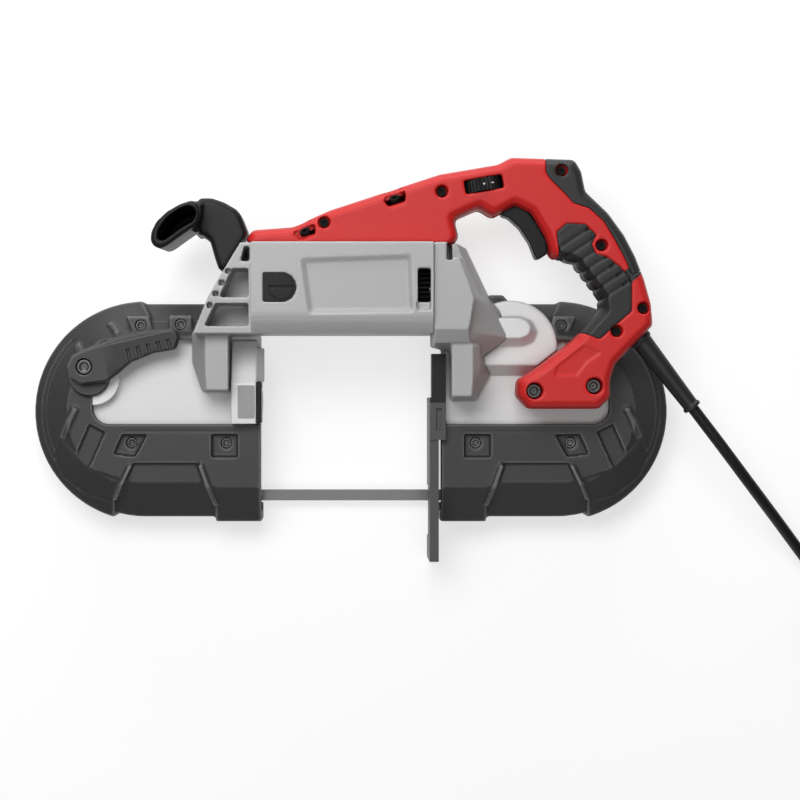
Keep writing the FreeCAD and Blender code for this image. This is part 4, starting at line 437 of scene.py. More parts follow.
def step(tree, kind, settings, **inputs):
    """A node of a tree: its settings, then its inputs by name, each a socket or a plain value."""
    node = tree.nodes.new(kind)
    for name, value in settings.items():
        setattr(node, name, value)
    for name, value in inputs.items():
        wanted = name.replace("_", " ")
        socket = next(socket for socket in node.inputs if socket.name == wanted and socket.enabled)
        feed(tree, socket, value)
    return node.outputs


def sum_step(tree, operation, *values, clamp=False):
    node = tree.nodes.new("ShaderNodeMath")
    node.operation = operation
    node.use_clamp = clamp
    for socket, value in zip(node.inputs, values):
        feed(tree, socket, value)
    return node.outputs[0]


def vector_step(tree, operation, *values):
    node = tree.nodes.new("ShaderNodeVectorMath")
    node.operation = operation
    sockets = [node.inputs[0], node.inputs["Scale"]] if operation == "SCALE" else node.inputs
    for socket, value in zip(sockets, values):
        feed(tree, socket, value)
    return node.outputs["Value" if operation in ("DOT_PRODUCT", "LENGTH") else "Vector"]


def boolean_step(tree, operation, first, *others):
    node = tree.nodes.new("GeometryNodeMeshBoolean")
    node.operation = operation
    if first:
        tree.links.new(first, node.inputs[0])
    for other in others:
        tree.links.new(other, node.inputs[1])
    return node.outputs[0]


def end_tree(tree, shape, material):
    """Real meshes with their material, given out by the tree."""
    real = step(tree, "GeometryNodeRealizeInstances", {}, Geometry=shape)["Geometry"]
    dressed = step(tree, "GeometryNodeSetMaterial", {}, Geometry=real, Material=material)["Geometry"]
    tree.links.new(dressed, tree.nodes.new("NodeGroupOutput").inputs[0])


def run_tree(piece, tree, **values):
    """The tree's result on a piece, as a plain mesh."""
    modifier = piece.modifiers.new(tree.name, "NODES")
    modifier.node_group = tree
    for item in tree.interface.items_tree:
        key = item.name.replace(" ", "_").lower()
        if item.in_out == "INPUT" and key in values:
            modifier[item.identifier] = values[key]
    return settle(piece)


# Camera

camera_data = bpy.data.cameras.new("camera")
camera_data.lens = camera_lens
camera_data.sensor_width = camera_sensor
camera_data.shift_x = camera_shift
camera = add_object("camera", camera_data)
camera.location = (0, camera_y, camera_height)
scene.camera = camera


# Cord

def coil_place(turns, centre, start_angle):
    """The cord's centre line in its coil: in along the floor, then out on top."""
    middle = coil_turns / 2
    away = math.hypot(turns - middle, coil_reverse_share)
    radius = coil_outer_radius - coil_pitch * (math.hypot(middle, coil_reverse_share) - away)
    rise = coil_layer_rise * ease(clamp((turns - middle) / coil_climb_turns + 1 / 2))
    angle = start_angle + 2 * math.pi * turns
    return centre + Vector((radius * math.cos(angle), radius * math.sin(angle), rise))


def cord_points():
    lead = [Vector(cord_start), Vector(cord_out)] + [Vector(point) for point in cord_route]
    entry = (lead[-1] - lead[-2]).normalized()
    corner = lead[-1] + entry * cord_end_run
    left = Vector((0, 0, 1)).cross(entry)
    centre = corner + left * coil_outer_radius
    start_angle = math.atan2(-left.y, -left.x)
    steps = int(coil_turns * coil_points_per_turn)
    turns = [coil_place(count / coil_points_per_turn, centre, start_angle) for count in range(steps + 1)]
    tail_way = Vector((entry.x, entry.y, 0)).normalized()
    tail = [turns[-1] + tail_way * cord_tail * share for share in cord_tail_shares]
    return lead + turns + tail


cord_curve = bpy.data.curves.new("power_cord", "CURVE")
cord_curve.dimensions = "3D"
cord_curve.bevel_depth = cord_diameter / 2
cord_curve.bevel_resolution = cord_round_steps
cord_curve.use_fill_caps = True
cord_curve.resolution_u = cord_run_steps
spline = cord_curve.splines.new("NURBS")
points = cord_points()
spline.points.add(len(points) - 1)
for place, point in zip(spline.points, points):
    place.co = (*point, 1)
spline.order_u = 3
spline.use_endpoint_u = True
power_cord = add_object("power_cord", cord_curve)


# Shader node groups

def new_group(name, inputs, outputs):
    """A shader node group with its sockets, its input node and its output node."""
    group = bpy.data.node_groups.new(name, "ShaderNodeTree")
    for socket_name, value in inputs:
        socket = group.interface.new_socket(socket_name, in_out="INPUT", socket_type="NodeSocketFloat")
        socket.default_value = value
    for socket_name, socket_type in outputs:
        group.interface.new_socket(socket_name, in_out="OUTPUT", socket_type=socket_type)
    return group, group.nodes.new("NodeGroupInput").outputs, group.nodes.new("NodeGroupOutput").inputs


def object_place(tree):
    return tree.nodes.new("ShaderNodeTexCoord").outputs["Object"]


def noise_step(tree, coordinates, scale, detail, roughness=0.5):
    node = tree.nodes.new("ShaderNodeTexNoise")
    node.inputs["Detail"].default_value = detail
    node.inputs["Roughness"].default_value = roughness
    feed(tree, node.inputs["Vector"], coordinates)
    feed(tree, node.inputs["Scale"], scale)
    return node.outputs[0]


def edge_wear_and_highlight_group():
    """Rounded normals along sharp edges, and a mask of those edges broken up by noise, for a lighter colour
    that is partly wear and partly a painted highlight.
    """
    group, start, end = new_group("edge_wear", [("Radius", 0.0008), ("Strength", 1.0)],
                                  [("Mask", "NodeSocketFloat"), ("Normal", "NodeSocketVector")])
    rounded = group.nodes.new("ShaderNodeBevel")
    rounded.samples = edge_samples
    group.links.new(start["Radius"], rounded.inputs["Radius"])
    normal = group.nodes.new("ShaderNodeNewGeometry").outputs["Normal"]
    likeness = vector_step(group, "DOT_PRODUCT", rounded.outputs[0], normal)
    bend = sum_step(group, "SUBTRACT", 1.0, likeness, clamp=True)
    patches = noise_step(group, object_place(group), edge_patch_scale, edge_patch_detail)
    worn_and_lit_edge = sum_step(group, "MULTIPLY", bend, patches)
    group.links.new(sum_step(group, "MULTIPLY", worn_and_lit_edge, start["Strength"], clamp=True), end["Mask"])
    group.links.new(rounded.outputs[0], end["Normal"])
    return group


def ridge_highlight_hollow_shade_group():
    """Masks for a painted highlight on the rounded ridges and painted shade in the hollows of a finely meshed
    piece.
    """
    group, start, end = new_group("ridge_light", [("Strength", 10.0)],
                                  [("Ridge", "NodeSocketFloat"), ("Hollow_Shade", "NodeSocketFloat")])
    bend = group.nodes.new("ShaderNodeNewGeometry").outputs["Pointiness"]
    rise = sum_step(group, "SUBTRACT", bend, flat_pointiness + pointiness_margin)
    fall = sum_step(group, "SUBTRACT", flat_pointiness - pointiness_margin, bend)
    group.links.new(sum_step(group, "MULTIPLY", rise, start["Strength"], clamp=True), end["Ridge"])
    group.links.new(sum_step(group, "MULTIPLY", fall, start["Strength"], clamp=True), end["Hollow_Shade"])
    return group


def surface_grain_group():
    """A fine moulded or cast grain: its height, and a slow mottle."""
    group, start, end = new_group("surface_grain", [("Grain Scale", 2500.0), ("Mottle Scale", 25.0)],
                                  [("Height", "NodeSocketFloat"), ("Mottle", "NodeSocketFloat")])
    place = object_place(group)
    group.links.new(noise_step(group, place, start["Grain Scale"], grain_detail), end["Height"])
    clouds = noise_step(group, place, start["Mottle Scale"], mottle_detail, mottle_roughness)
    group.links.new(clouds, end["Mottle"])
    return group


def two_tone_group():
    """A mask of what lies below a level along one direction."""
    inputs = [("Level", casting_split_z), ("Softness", split_softness), ("Along Y", 0.0), ("Along Z", 1.0)]
    group, start, end = new_group("two_tone", inputs, [("Mask", "NodeSocketFloat")])
    parts = group.nodes.new("ShaderNodeSeparateXYZ")
    group.links.new(object_place(group), parts.inputs[0])
    along_y = sum_step(group, "MULTIPLY", parts.outputs["Y"], start["Along Y"])
    height = sum_step(group, "MULTIPLY_ADD", parts.outputs["Z"], start["Along Z"], along_y)
    below = sum_step(group, "SUBTRACT", start["Level"], height)
    group.links.new(sum_step(group, "DIVIDE", below, start["Softness"], clamp=True), end["Mask"])
    return group


edge_wear = edge_wear_and_highlight_group()
ridge_light = ridge_highlight_hollow_shade_group()
surface_grain = surface_grain_group()
two_tone = two_tone_group()


# Finishes

finishes = {}


def place_group(tree, group, **values):
    node = tree.nodes.new("ShaderNodeGroup")
    node.node_tree = group
    for name, value in values.items():
        node.inputs[name.replace("_", " ").title()].default_value = value
    return node.outputs


def mix_colour(tree, factor, first, second):
    node = tree.nodes.new("ShaderNodeMix")
    node.data_type = "RGBA"
    tree.links.new(factor, node.inputs[0])
    sockets = [socket for socket in node.inputs if socket.type == "RGBA"]
    for socket, value in zip(sockets, (first, second)):
        feed(tree, socket, (*value, 1) if isinstance(value, tuple) else value)
    return next(socket for socket in node.outputs if socket.type == "RGBA")


def shaded(colour, factor):
    return tuple(min(1.0, channel * factor) for channel in colour)


def finish(name, colour, roughness, grain, bump, mottle, spread, wear_and_highlight, metallic=0.0, worn_and_lit_edge=None, edge=0.0008,
           specular=0.5, speckle=0.1, second=None, ridge=0.0):
    """A material with grain, mottled colour and roughness, rounded edges and a lighter colour along them,
    partly wear and partly a painted highlight; with ridge set, a painted highlight on its ridges and painted
    shade in its hollows.

    A second tone is a colour and the values of the two-tone mask that it fills.
    """
    material = bpy.data.materials.new(name)
    material.use_nodes = True
    tree = material.node_tree
    shader = tree.nodes["Principled BSDF"].inputs
    shader["Metallic"].default_value = metallic
    shader["Specular IOR Level"].default_value = specular
    texture = place_group(tree, surface_grain, grain_scale=grain, mottle_scale=mottle)
    edges = place_group(tree, edge_wear, radius=edge, strength=wear_and_highlight)
    clouds = sum_step(tree, "SUBTRACT", texture["Mottle"], 1 / 2)
    dots = sum_step(tree, "SUBTRACT", texture["Height"], 1 / 2)
    cloudy = sum_step(tree, "MULTIPLY_ADD", clouds, mottle_gain * spread, 1 / 2)
    tone = sum_step(tree, "MULTIPLY_ADD", dots, speckle_gain * speckle, cloudy, clamp=True)
    depth = speckle + spread
    base = mix_colour(tree, tone, shaded(colour, 1 - depth), shaded(colour, 1 + depth))
    if second:
        other, place = second
        other = mix_colour(tree, tone, shaded(other, 1 - depth), shaded(other, 1 + depth))
        base = mix_colour(tree, place_group(tree, two_tone, **place)["Mask"], base, other)
    # Edges take a lighter colour: partly real wear, partly a painted highlight.
    base = mix_colour(tree, edges["Mask"], base, worn_and_lit_edge or shaded(colour, worn_and_lit_edge_share))
    # Painted highlight on convex ridges and painted shade in concave hollows, both from the mesh's
    # pointiness.
    if ridge:
        painted_light_masks = place_group(tree, ridge_light, strength=ridge)
        base = mix_colour(tree, painted_light_masks["Ridge"], base, worn_and_lit_edge)
        base = mix_colour(tree, painted_light_masks["Hollow_Shade"], base, shaded(colour, hollow_shade_share))
    tree.links.new(base, shader["Base Color"])
    smoothest = roughness - roughness_swing / 2
    sheen = sum_step(tree, "MULTIPLY_ADD", texture["Mottle"], roughness_swing, smoothest)
    tree.links.new(sheen, shader["Roughness"])
    relief = step(tree, "ShaderNodeBump", {}, Strength=bump, Distance=grain_height, Height=texture["Height"],
                  Normal=edges["Normal"])
    tree.links.new(relief["Normal"], shader["Normal"])
    finishes[name] = material


def clear_finish():
    """The work light's lens: glossy, a little cloudy and not see-through."""
    material = bpy.data.materials.new("clear_lens")
    material.use_nodes = True
    tree = material.node_tree
    shader = tree.nodes["Principled BSDF"].inputs
    shader["Specular IOR Level"].default_value = lens_specular
    texture = place_group(tree, surface_grain, grain_scale=lens_grain, mottle_scale=lens_mottle)
    tint = mix_colour(tree, texture["Mottle"], shaded(lens_white, lens_cloud_share), lens_white)
    tree.links.new(tint, shader["Base Color"])
    sheen = sum_step(tree, "MULTIPLY_ADD", texture["Mottle"], lens_roughness_swing, lens_roughness)
    tree.links.new(sheen, shader["Roughness"])
    finishes["clear_lens"] = material


# In the finishes, ridge sets the strength of the painted ridge highlight and painted hollow shade.
casting = dict(roughness=0.46, metallic=0.15, grain=750.0, bump=0.35, mottle=18.0, spread=0.05,
               worn_and_lit_edge=bright_edge, wear_and_highlight=2.0, speckle=0.12, ridge=5.0)
finish("cast_aluminium", cast_grey, **casting)
finish("frame_casting", cast_grey, **casting, second=(plate_grey, dict(level=casting_split_z)))
finish("bright_casting", plate_grey, **casting)
finish("red_plastic", shell_red, roughness=0.45, grain=1000.0, bump=0.3, mottle=14.0, spread=0.05, wear_and_highlight=1.5,
       worn_and_lit_edge=red_edge, specular=0.3, speckle=0.09, ridge=4.0)
finish("black_rubber", rubber_black, roughness=0.5, grain=1000.0, bump=0.5, mottle=20.0, spread=0.15,
       wear_and_highlight=2.0, worn_and_lit_edge=dark_edge, specular=0.4, speckle=0.15, ridge=7.0)
finish("guard_rubber", guard_black, roughness=0.52, grain=800.0, bump=0.7, mottle=16.0, spread=0.12, wear_and_highlight=2.0,
       worn_and_lit_edge=guard_edge, edge=0.0010, speckle=0.25, ridge=14.0)
finish("black_plastic", plastic_black, roughness=0.42, grain=1200.0, bump=0.3, mottle=20.0, spread=0.15,
       wear_and_highlight=2.0, worn_and_lit_edge=dark_edge, specular=0.2)
# black_steel's strong edge wear paints bright glints along the screw heads and socket edges.
finish("black_steel", oxide_black, roughness=0.30, grain=1500.0, bump=0.12, mottle=40.0, spread=0.2, wear_and_highlight=8.0,
       metallic=0.9, worn_and_lit_edge=oxide_edge, edge=0.0004)
# hole_black paints shade: the handle's screws are near black, standing in for the shade deep in their holes.
finish("hole_black", carbon_black, roughness=0.6, grain=1500.0, bump=0.2, mottle=30.0, spread=0.2, wear_and_highlight=1.0,
       worn_and_lit_edge=dark_edge, edge=0.0004, specular=0.1)
finish("shoe_steel", plastic_black, roughness=0.45, grain=900.0, bump=0.3, mottle=30.0, spread=0.1, wear_and_highlight=5.0,
       worn_and_lit_edge=shoe_edge, specular=0.25, speckle=0.12,
       second=(shoe_grey, dict(level=shoe_split_y, along_y=1.0, along_z=0.0)))
finish("bright_steel", bright_grey, roughness=0.3, grain=1500.0, bump=0.08, mottle=30.0, spread=0.1, wear_and_highlight=2.0,
       metallic=0.9, edge=0.0005)
finish("blade_steel", blade_grey, roughness=0.36, grain=900.0, bump=0.15, mottle=60.0, spread=0.1, wear_and_highlight=4.0,
       metallic=0.9, worn_and_lit_edge=blade_edge, edge=0.0003)
finish("wheel_casting", wheel_grey, roughness=0.45, grain=1600.0, bump=0.3, mottle=20.0, spread=0.15,
       wear_and_highlight=3.0, metallic=0.4)
finish("laminated_iron", iron_grey, roughness=0.5, grain=1200.0, bump=0.3, mottle=40.0, spread=0.2, wear_and_highlight=3.0,
       metallic=0.6, edge=0.0004)
finish("copper", copper_brown, roughness=0.35, grain=1800.0, bump=0.3, mottle=40.0, spread=0.2, wear_and_highlight=2.0,
       metallic=0.9, edge=0.0004)
finish("carbon", carbon_black, roughness=0.5, grain=2000.0, bump=0.2, mottle=30.0, spread=0.2, wear_and_highlight=2.0,
       edge=0.0004)
finish("light_grey_plastic", light_grey, roughness=0.38, grain=1300.0, bump=0.2, mottle=18.0, spread=0.05,
       wear_and_highlight=3.0, worn_and_lit_edge=bright_edge, edge=0.0012, speckle=0.05)
finish("cord_rubber", cord_black, roughness=0.5, grain=1400.0, bump=0.3, mottle=40.0, spread=0.2, wear_and_highlight=1.0,
       edge=0.0003, specular=0.3)
finish("plug_brass", brass_yellow, roughness=0.3, grain=1500.0, bump=0.06, mottle=30.0, spread=0.1, wear_and_highlight=2.0,
       metallic=0.95, edge=0.0003)
# The dial's two pale pads take this finish.
finish("mark_paint", mark_white, roughness=0.5, grain=2000.0, bump=0.1, mottle=60.0, spread=0.1, wear_and_highlight=1.0,
       edge=0.0001)
clear_finish()

# Carried-over solids take the finish of their slot, or a variant of it
slot_of = {part["node"]: part["material_slot"] for part in frame["record"]["subparts"]}
variants = {
    "idler_frame": "frame_casting", "gear_case": "frame_casting", "gear_case_cover": "bright_casting",
    # The handle screws take hole_black, near black as painted shade for the depth of their holes.
    "shoe_plate": "shoe_steel", "tension_boss": "bright_casting", "handle_screws": "hole_black",
    # led_housing takes bright_casting, a lighter colour than its own that paints light onto its slope where
    # the bar's shadow falls.
    "tension_lever": "guard_rubber", "front_handle": "black_plastic", "led_housing": "bright_casting",
}


def dress(piece, finish_name):
    piece.data.materials.clear()
    piece.data.materials.append(finishes[finish_name])


def finish_of(node):
    return variants.get(node, slot_of[node])


def stands_for(piece, *covered):
    """The piece rides on the body of the solids that it stands for, which are hidden."""
    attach(piece, nodes[covered[0]]["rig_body"])
    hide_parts(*covered)


for node, solid in nodes.items():
    dress(solid, finish_of(node))


# Moulded pieces

moulded = {}
for node, (grid, passes) in moulded_pieces.items():
    rods = handle_fills if node == "front_handle" else ()
    moulded[node] = moulded_copy(node + "_moulded", node, grid, passes, rods)
    dress(moulded[node], finish_of(node))
    stands_for(moulded[node], node)

dress(power_cord, "cord_rubber")
stands_for(power_cord, "cord_lead", "cord_coil")


# Rear handle

def inside(place, outline):
    """Whether a place lies inside an outline, seen along Z."""
    crossings = 0
    for (ax, ay), (bx, by) in zip(outline, outline[1:] + outline[:1]):
        if (ay > place.y) != (by > place.y) and place.x < ax + (place.y - ay) * (bx - ax) / (by - ay):
            crossings += 1
    return crossings % 2 == 1


def black_bridge(piece):
    piece.data.materials.append(finishes["black_rubber"])
    for face in piece.data.polygons:
        if face.center.z > bridge_low_z and inside(face.center, bridge_outline):
            face.material_index = 1


black_bridge(moulded["handle_shell_near"])


# Bar

def round_bar(piece):
    """The bar's chamfered lower edge, eased into a curve of the same depth."""
    for vertex in piece.data.vertices:
        reach = clamp((bar_bottom_y + bar_round_y - vertex.co.y) / bar_round_y)
        straight = bar_chamfer_z * max(0, (bar_bottom_y + bar_chamfer_y - vertex.co.y) / bar_chamfer_y)
        share = clamp((vertex.co.z - bar_front_z + bar_round_depth) / (bar_round_depth - bar_chamfer_z))
        vertex.co.z += share * (straight - bar_chamfer_z * reach ** 2)


round_bar(moulded["motor_housing"])


# Gear case

def open_channel(piece):
    """Cut the shoe's channel out again, with sharp corners, after the rounding."""
    corners = itertools.product(*zip(channel_low, channel_high))
    cutter = add_object("channel_cutter", mesh_from("channel_cutter", corners, box_faces))
    cut = piece.modifiers.new("channel", "BOOLEAN")
    cut.operation = "DIFFERENCE"
    cut.solver = "EXACT"
    cut.object = cutter
    settle(piece)
    bpy.data.meshes.remove(cutter.data)


open_channel(moulded["gear_case"])


# Tension lever

def ridge_lever(piece):
    """Two slopes on the lever's top, from the ridge down to its edges."""
    start = Vector((*lever_ridge_start, 0))
    along = (Vector((*lever_ridge_end, 0)) - start).normalized()
    across = Vector((-along.y, along.x, 0))
    low, high = (Vector(corner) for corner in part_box("tension_lever"))
    for vertex in piece.data.vertices:
        offset = vertex.co - start
        run = offset.dot(along)
        rise = offset.dot(across)
        share = clamp((vertex.co.z - lever_top_z) / (high.z - lever_top_z))
        fade = clamp(run / lever_lower_fade)
        drop = lever_upper_slope * max(0, rise) + lever_lower_slope * fade * max(0, -rise)
        vertex.co.z -= share * min(drop, high.z - lever_top_z)


ridge_lever(moulded["tension_lever"])


# Finger grip

def grip_rib_tree():
    """Grooves pressed into a grip across its axis, on the side that faces away from it."""
    tree, given = new_tree("grip_ribs", [("Start", "Vector"), ("Along", "Vector"), ("Length", "Float"),
                                         ("Pitch", "Float"), ("Depth", "Float"), ("Fade", "Float"),
                                         ("Front Share", "Float"), ("Slot Near", "Float"),
                                         ("Slot Far", "Float"), ("Slot Depth", "Float")])
    normal = step(tree, "GeometryNodeInputNormal", {})["Normal"]
    place = step(tree, "GeometryNodeInputPosition", {})["Position"]
    offset = vector_step(tree, "SUBTRACT", place, given["Start"])
    run = vector_step(tree, "DOT_PRODUCT", offset, given["Along"])
    across = vector_step(tree, "SUBTRACT", offset, vector_step(tree, "SCALE", given["Along"], run))
    outward = vector_step(tree, "DOT_PRODUCT", normal, vector_step(tree, "NORMALIZE", across))
    wave = sum_step(tree, "MULTIPLY", sum_step(tree, "DIVIDE", run, given["Pitch"]), math.pi)
    dip = sum_step(tree, "SUBTRACT", 1.0, sum_step(tree, "ABSOLUTE", sum_step(tree, "SINE", wave)))
    groove = sum_step(tree, "POWER", dip, rib_sharpness)
    begin = sum_step(tree, "DIVIDE", run, given["Fade"], clamp=True)
    left = sum_step(tree, "SUBTRACT", given["Length"], run)
    finish_share = sum_step(tree, "DIVIDE", left, given["Fade"], clamp=True)
    share = sum_step(tree, "MULTIPLY", sum_step(tree, "MULTIPLY", begin, finish_share),
                     sum_step(tree, "MULTIPLY", outward, rib_outward_gain, clamp=True))
    back_way = vector_step(tree, "CROSS_PRODUCT", (0.0, 0.0, 1.0), given["Along"])
    backward = vector_step(tree, "DOT_PRODUCT", normal, back_way)
    finger_side = sum_step(tree, "MULTIPLY", backward, finger_side_gain, clamp=True)
    front = sum_step(tree, "SUBTRACT", 1.0, given["Front Share"])
    bite = sum_step(tree, "MULTIPLY_ADD", finger_side, front, given["Front Share"])
    wave_depth = sum_step(tree, "MULTIPLY", sum_step(tree, "MULTIPLY", groove, bite), given["Depth"])
    reach = vector_step(tree, "DOT_PRODUCT", offset, back_way)
    near_gap = sum_step(tree, "SUBTRACT", reach, given["Slot Near"])
    far_gap = sum_step(tree, "SUBTRACT", given["Slot Far"], reach)
    past_near = sum_step(tree, "MULTIPLY", near_gap, slot_edge_gain, clamp=True)
    before_far = sum_step(tree, "MULTIPLY", far_gap, slot_edge_gain, clamp=True)
    deep_end = sum_step(tree, "SUBTRACT", dip, slot_middle)
    narrow = sum_step(tree, "MULTIPLY", deep_end, slot_sharpness, clamp=True)
    slot = sum_step(tree, "MULTIPLY", sum_step(tree, "MULTIPLY", past_near, before_far), narrow)
    cut = sum_step(tree, "MAXIMUM", wave_depth, sum_step(tree, "MULTIPLY", slot, given["Slot Depth"]))
    depth = sum_step(tree, "MULTIPLY", cut, share)
    inward = vector_step(tree, "SCALE", normal, sum_step(tree, "MULTIPLY", depth, -1.0))
    moved = step(tree, "GeometryNodeSetPosition", {}, Geometry=given["Geometry"], Offset=inward)["Geometry"]
    end_tree(tree, moved, given["Material"])
    return tree


finger_grip = moulded_copy("finger_grip_ribbed", "finger_grip", finger_grid, finger_passes)
rib_way = Vector(rib_end) - Vector(rib_start)
run_tree(finger_grip, grip_rib_tree(), start=rib_start, along=tuple(rib_way.normalized()),
         length=rib_way.length, pitch=rib_pitch, depth=rib_depth, fade=rib_fade,
         front_share=rib_front_share, slot_near=slot_near, slot_far=slot_far, slot_depth=slot_depth,
         material=finishes["black_rubber"])
stands_for(finger_grip, "finger_grip")


# Blade

def blade_stations():
    """The blade's line round both wheels: at each place its centre, its width and its outer side."""
    up = Vector((0, 0, 1))
    stations = []
    for side, first_angle in ((1, math.pi / 2), (-1, -math.pi / 2)):
        for count in range(blade_arc_steps + 1):
            angle = first_angle - math.pi * count / blade_arc_steps
            outward = Vector((math.cos(angle), math.sin(angle), 0))
            centre = Vector((side * wheel_half_spacing, wheel_axis_y, blade_z)) + outward * blade_line_radius
            stations.append((centre, up, outward))
        if side > 0:
            stations += twisted_run()
    return stations


def twisted_run():
    """The blade's free run, which turns from flat on the wheels to upright between the guides."""
    flat_x = wheel_half_spacing - blade_flat_run
    places = [flat_x + (blade_guide_x - flat_x) * count / blade_twist_steps
              for count in range(blade_twist_steps + 1)]
    run = []
    for x in places + [-x for x in places[::-1]]:
        share = min(1.0, (flat_x - abs(x)) / (flat_x - blade_guide_x))
        turn = blade_twist * ease(share)
        centre = Vector((x, wheel_axis_y - blade_line_radius, blade_z))
        wide = Vector((0, math.sin(turn), math.cos(turn)))
        run.append((centre, wide, Vector((0, -wide.z, wide.y))))
    return run


def tooth_tree():
    """Teeth along a line, pointing the way that its points say."""
    tree, given = new_tree("blade_teeth", [("Pitch", "Float"), ("Height", "Float"), ("Thickness", "Float")])
    line = step(tree, "GeometryNodeMeshToCurve", {}, Mesh=given["Geometry"])["Curve"]
    points = step(tree, "GeometryNodeCurveToPoints", {"mode": "LENGTH"}, Curve=line, Length=given["Pitch"])
    outward = step(tree, "GeometryNodeInputNamedAttribute", {"data_type": "FLOAT_VECTOR"},
                   Name="outward")["Attribute"]
    upright = step(tree, "FunctionNodeAlignRotationToVector", {"axis": "Z"}, Vector=outward)["Rotation"]
    turned = step(tree, "FunctionNodeAlignRotationToVector", {"axis": "X", "pivot_axis": "Z"},
                  Rotation=upright, Vector=points["Tangent"])["Rotation"]
    tooth = step(tree, "GeometryNodeMeshCone", {}, Vertices=4, Radius_Top=tooth_tip_share,
                 Radius_Bottom=tooth_root_share, Depth=1.0)["Mesh"]
    size = step(tree, "ShaderNodeCombineXYZ", {}, X=given["Pitch"], Y=given["Thickness"],
                Z=given["Height"])["Vector"]
    teeth = step(tree, "GeometryNodeInstanceOnPoints", {}, Points=points["Points"], Instance=tooth,
                 Rotation=turned, Scale=size)["Instances"]
    end_tree(tree, teeth, given["Material"])
    return tree


def make_blade():
    """The blade's strip, and its teeth along the strip's work edge."""
    stations = blade_stations()
    count = len(stations)
    half = blade_width / 2
    thick = blade_thickness / 2
    root = tooth_height - half
    section = ((half, thick), (half, -thick), (root, -thick), (root, thick))
    places = [centre + wide * a + outward * b for centre, wide, outward in stations for a, b in section]
    faces = [(4 * k + i, 4 * k + (i + 1) % 4, 4 * ((k + 1) % count) + (i + 1) % 4, 4 * ((k + 1) % count) + i)
             for k in range(count) for i in range(4)]
    strip = add_object("blade_strip", mesh_from("blade_strip", places, faces))
    dress(strip, "blade_steel")
    line = [centre + wide * root for centre, wide, outward in stations]
    edge = mesh_from("blade_teeth", line, [], [(k, (k + 1) % count) for k in range(count)])
    give_values(edge, "outward", "FLOAT_VECTOR", [-wide for centre, wide, outward in stations])
    teeth = add_object("blade_teeth", edge)
    run_tree(teeth, tooth_tree(), pitch=tooth_pitch, height=tooth_height,
             thickness=tooth_set_share * blade_thickness, material=finishes["blade_steel"])
    outward_faces(strip)
    return strip, teeth


def outward_faces(piece):
    build = bmesh.new()
    build.from_mesh(piece.data)
    bmesh.ops.recalc_face_normals(build, faces=build.faces)
    build.to_mesh(piece.data)
    build.free()


blade_strip, blade_teeth = make_blade()
stands_for(blade_strip, "saw_blade")
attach(blade_teeth, nodes["saw_blade"]["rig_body"])


# Screws

def screw_tree():
    """A screw at each point: a head with a hexagon socket, and a shank below it."""
    tree, given = new_tree("socket_screws", [("Socket Radius", "Float"), ("Socket Depth", "Float"),
                                             ("Sides", "Int")])

    def value(name):
        return step(tree, "GeometryNodeInputNamedAttribute", {"data_type": "FLOAT"}, Name=name)["Attribute"]

    def size(radius, height):
        return step(tree, "ShaderNodeCombineXYZ", {}, X=value(radius), Y=value(radius),
                    Z=value(height))["Vector"]

    def lifted(shape, lift):
        return step(tree, "GeometryNodeTransform", {}, Geometry=shape, Translation=(0, 0, lift))["Geometry"]

    rod = step(tree, "GeometryNodeMeshCylinder", {}, Vertices=given["Sides"], Radius=1.0, Depth=1.0)["Mesh"]
    blank = lifted(rod, 1 / 2)
    taper = step(tree, "GeometryNodeMeshCone", {}, Vertices=given["Sides"], **head_taper_shares)["Mesh"]
    head = boolean_step(tree, "INTERSECT", None, blank, taper)
    double_depth = sum_step(tree, "MULTIPLY", given["Socket Depth"], 2.0)
    hexagon = step(tree, "GeometryNodeMeshCylinder", {}, Vertices=6, Radius=given["Socket Radius"],
                   Depth=double_depth)["Mesh"]
    funnel = step(tree, "GeometryNodeMeshCone", {}, Vertices=given["Sides"], **socket_mouth_shares)["Mesh"]
    mouth = lifted(funnel, socket_mouth_lift_share)
    cut = boolean_step(tree, "DIFFERENCE", head, lifted(hexagon, 1), mouth)
    shank = lifted(rod, -1 / 2)
    points = step(tree, "GeometryNodeMeshToPoints", {}, Mesh=given["Geometry"])["Points"]
    heads = step(tree, "GeometryNodeInstanceOnPoints", {}, Points=points, Instance=cut,
                 Scale=size("head_radius", "head_height"))["Instances"]
    shanks = step(tree, "GeometryNodeInstanceOnPoints", {}, Points=points, Instance=shank,
                  Scale=size("shank_radius", "shank_length"))["Instances"]
    both = tree.nodes.new("GeometryNodeJoinGeometry")
    for shape in (heads, shanks):
        tree.links.new(shape, both.inputs[0])
    end_tree(tree, both.outputs[0], given["Material"])
    return tree


socket_screws = screw_tree()
for node, (head_height, shank_radius) in screw_sizes.items():
    boxes = islands(node)
    seats = [((low.x + high.x) / 2, (low.y + high.y) / 2, high.z - head_height) for low, high in boxes]
    seat_mesh = mesh_from(node + "_hexagon", seats, [])
    give_values(seat_mesh, "head_radius", "FLOAT", [(high.x - low.x) / 2 for low, high in boxes])
    give_values(seat_mesh, "head_height", "FLOAT", [head_height] * len(boxes))
    give_values(seat_mesh, "shank_radius", "FLOAT", [shank_radius] * len(boxes))
    give_values(seat_mesh, "shank_length", "FLOAT", [high.z - head_height - low.z for low, high in boxes])
    screws = run_tree(add_object(node + "_hexagon", seat_mesh), socket_screws, sides=screw_sides,
                      socket_radius=socket_radius_share, socket_depth=socket_depth_share,
                      material=finishes["black_steel"])
    stands_for(screws, node)


# Vent

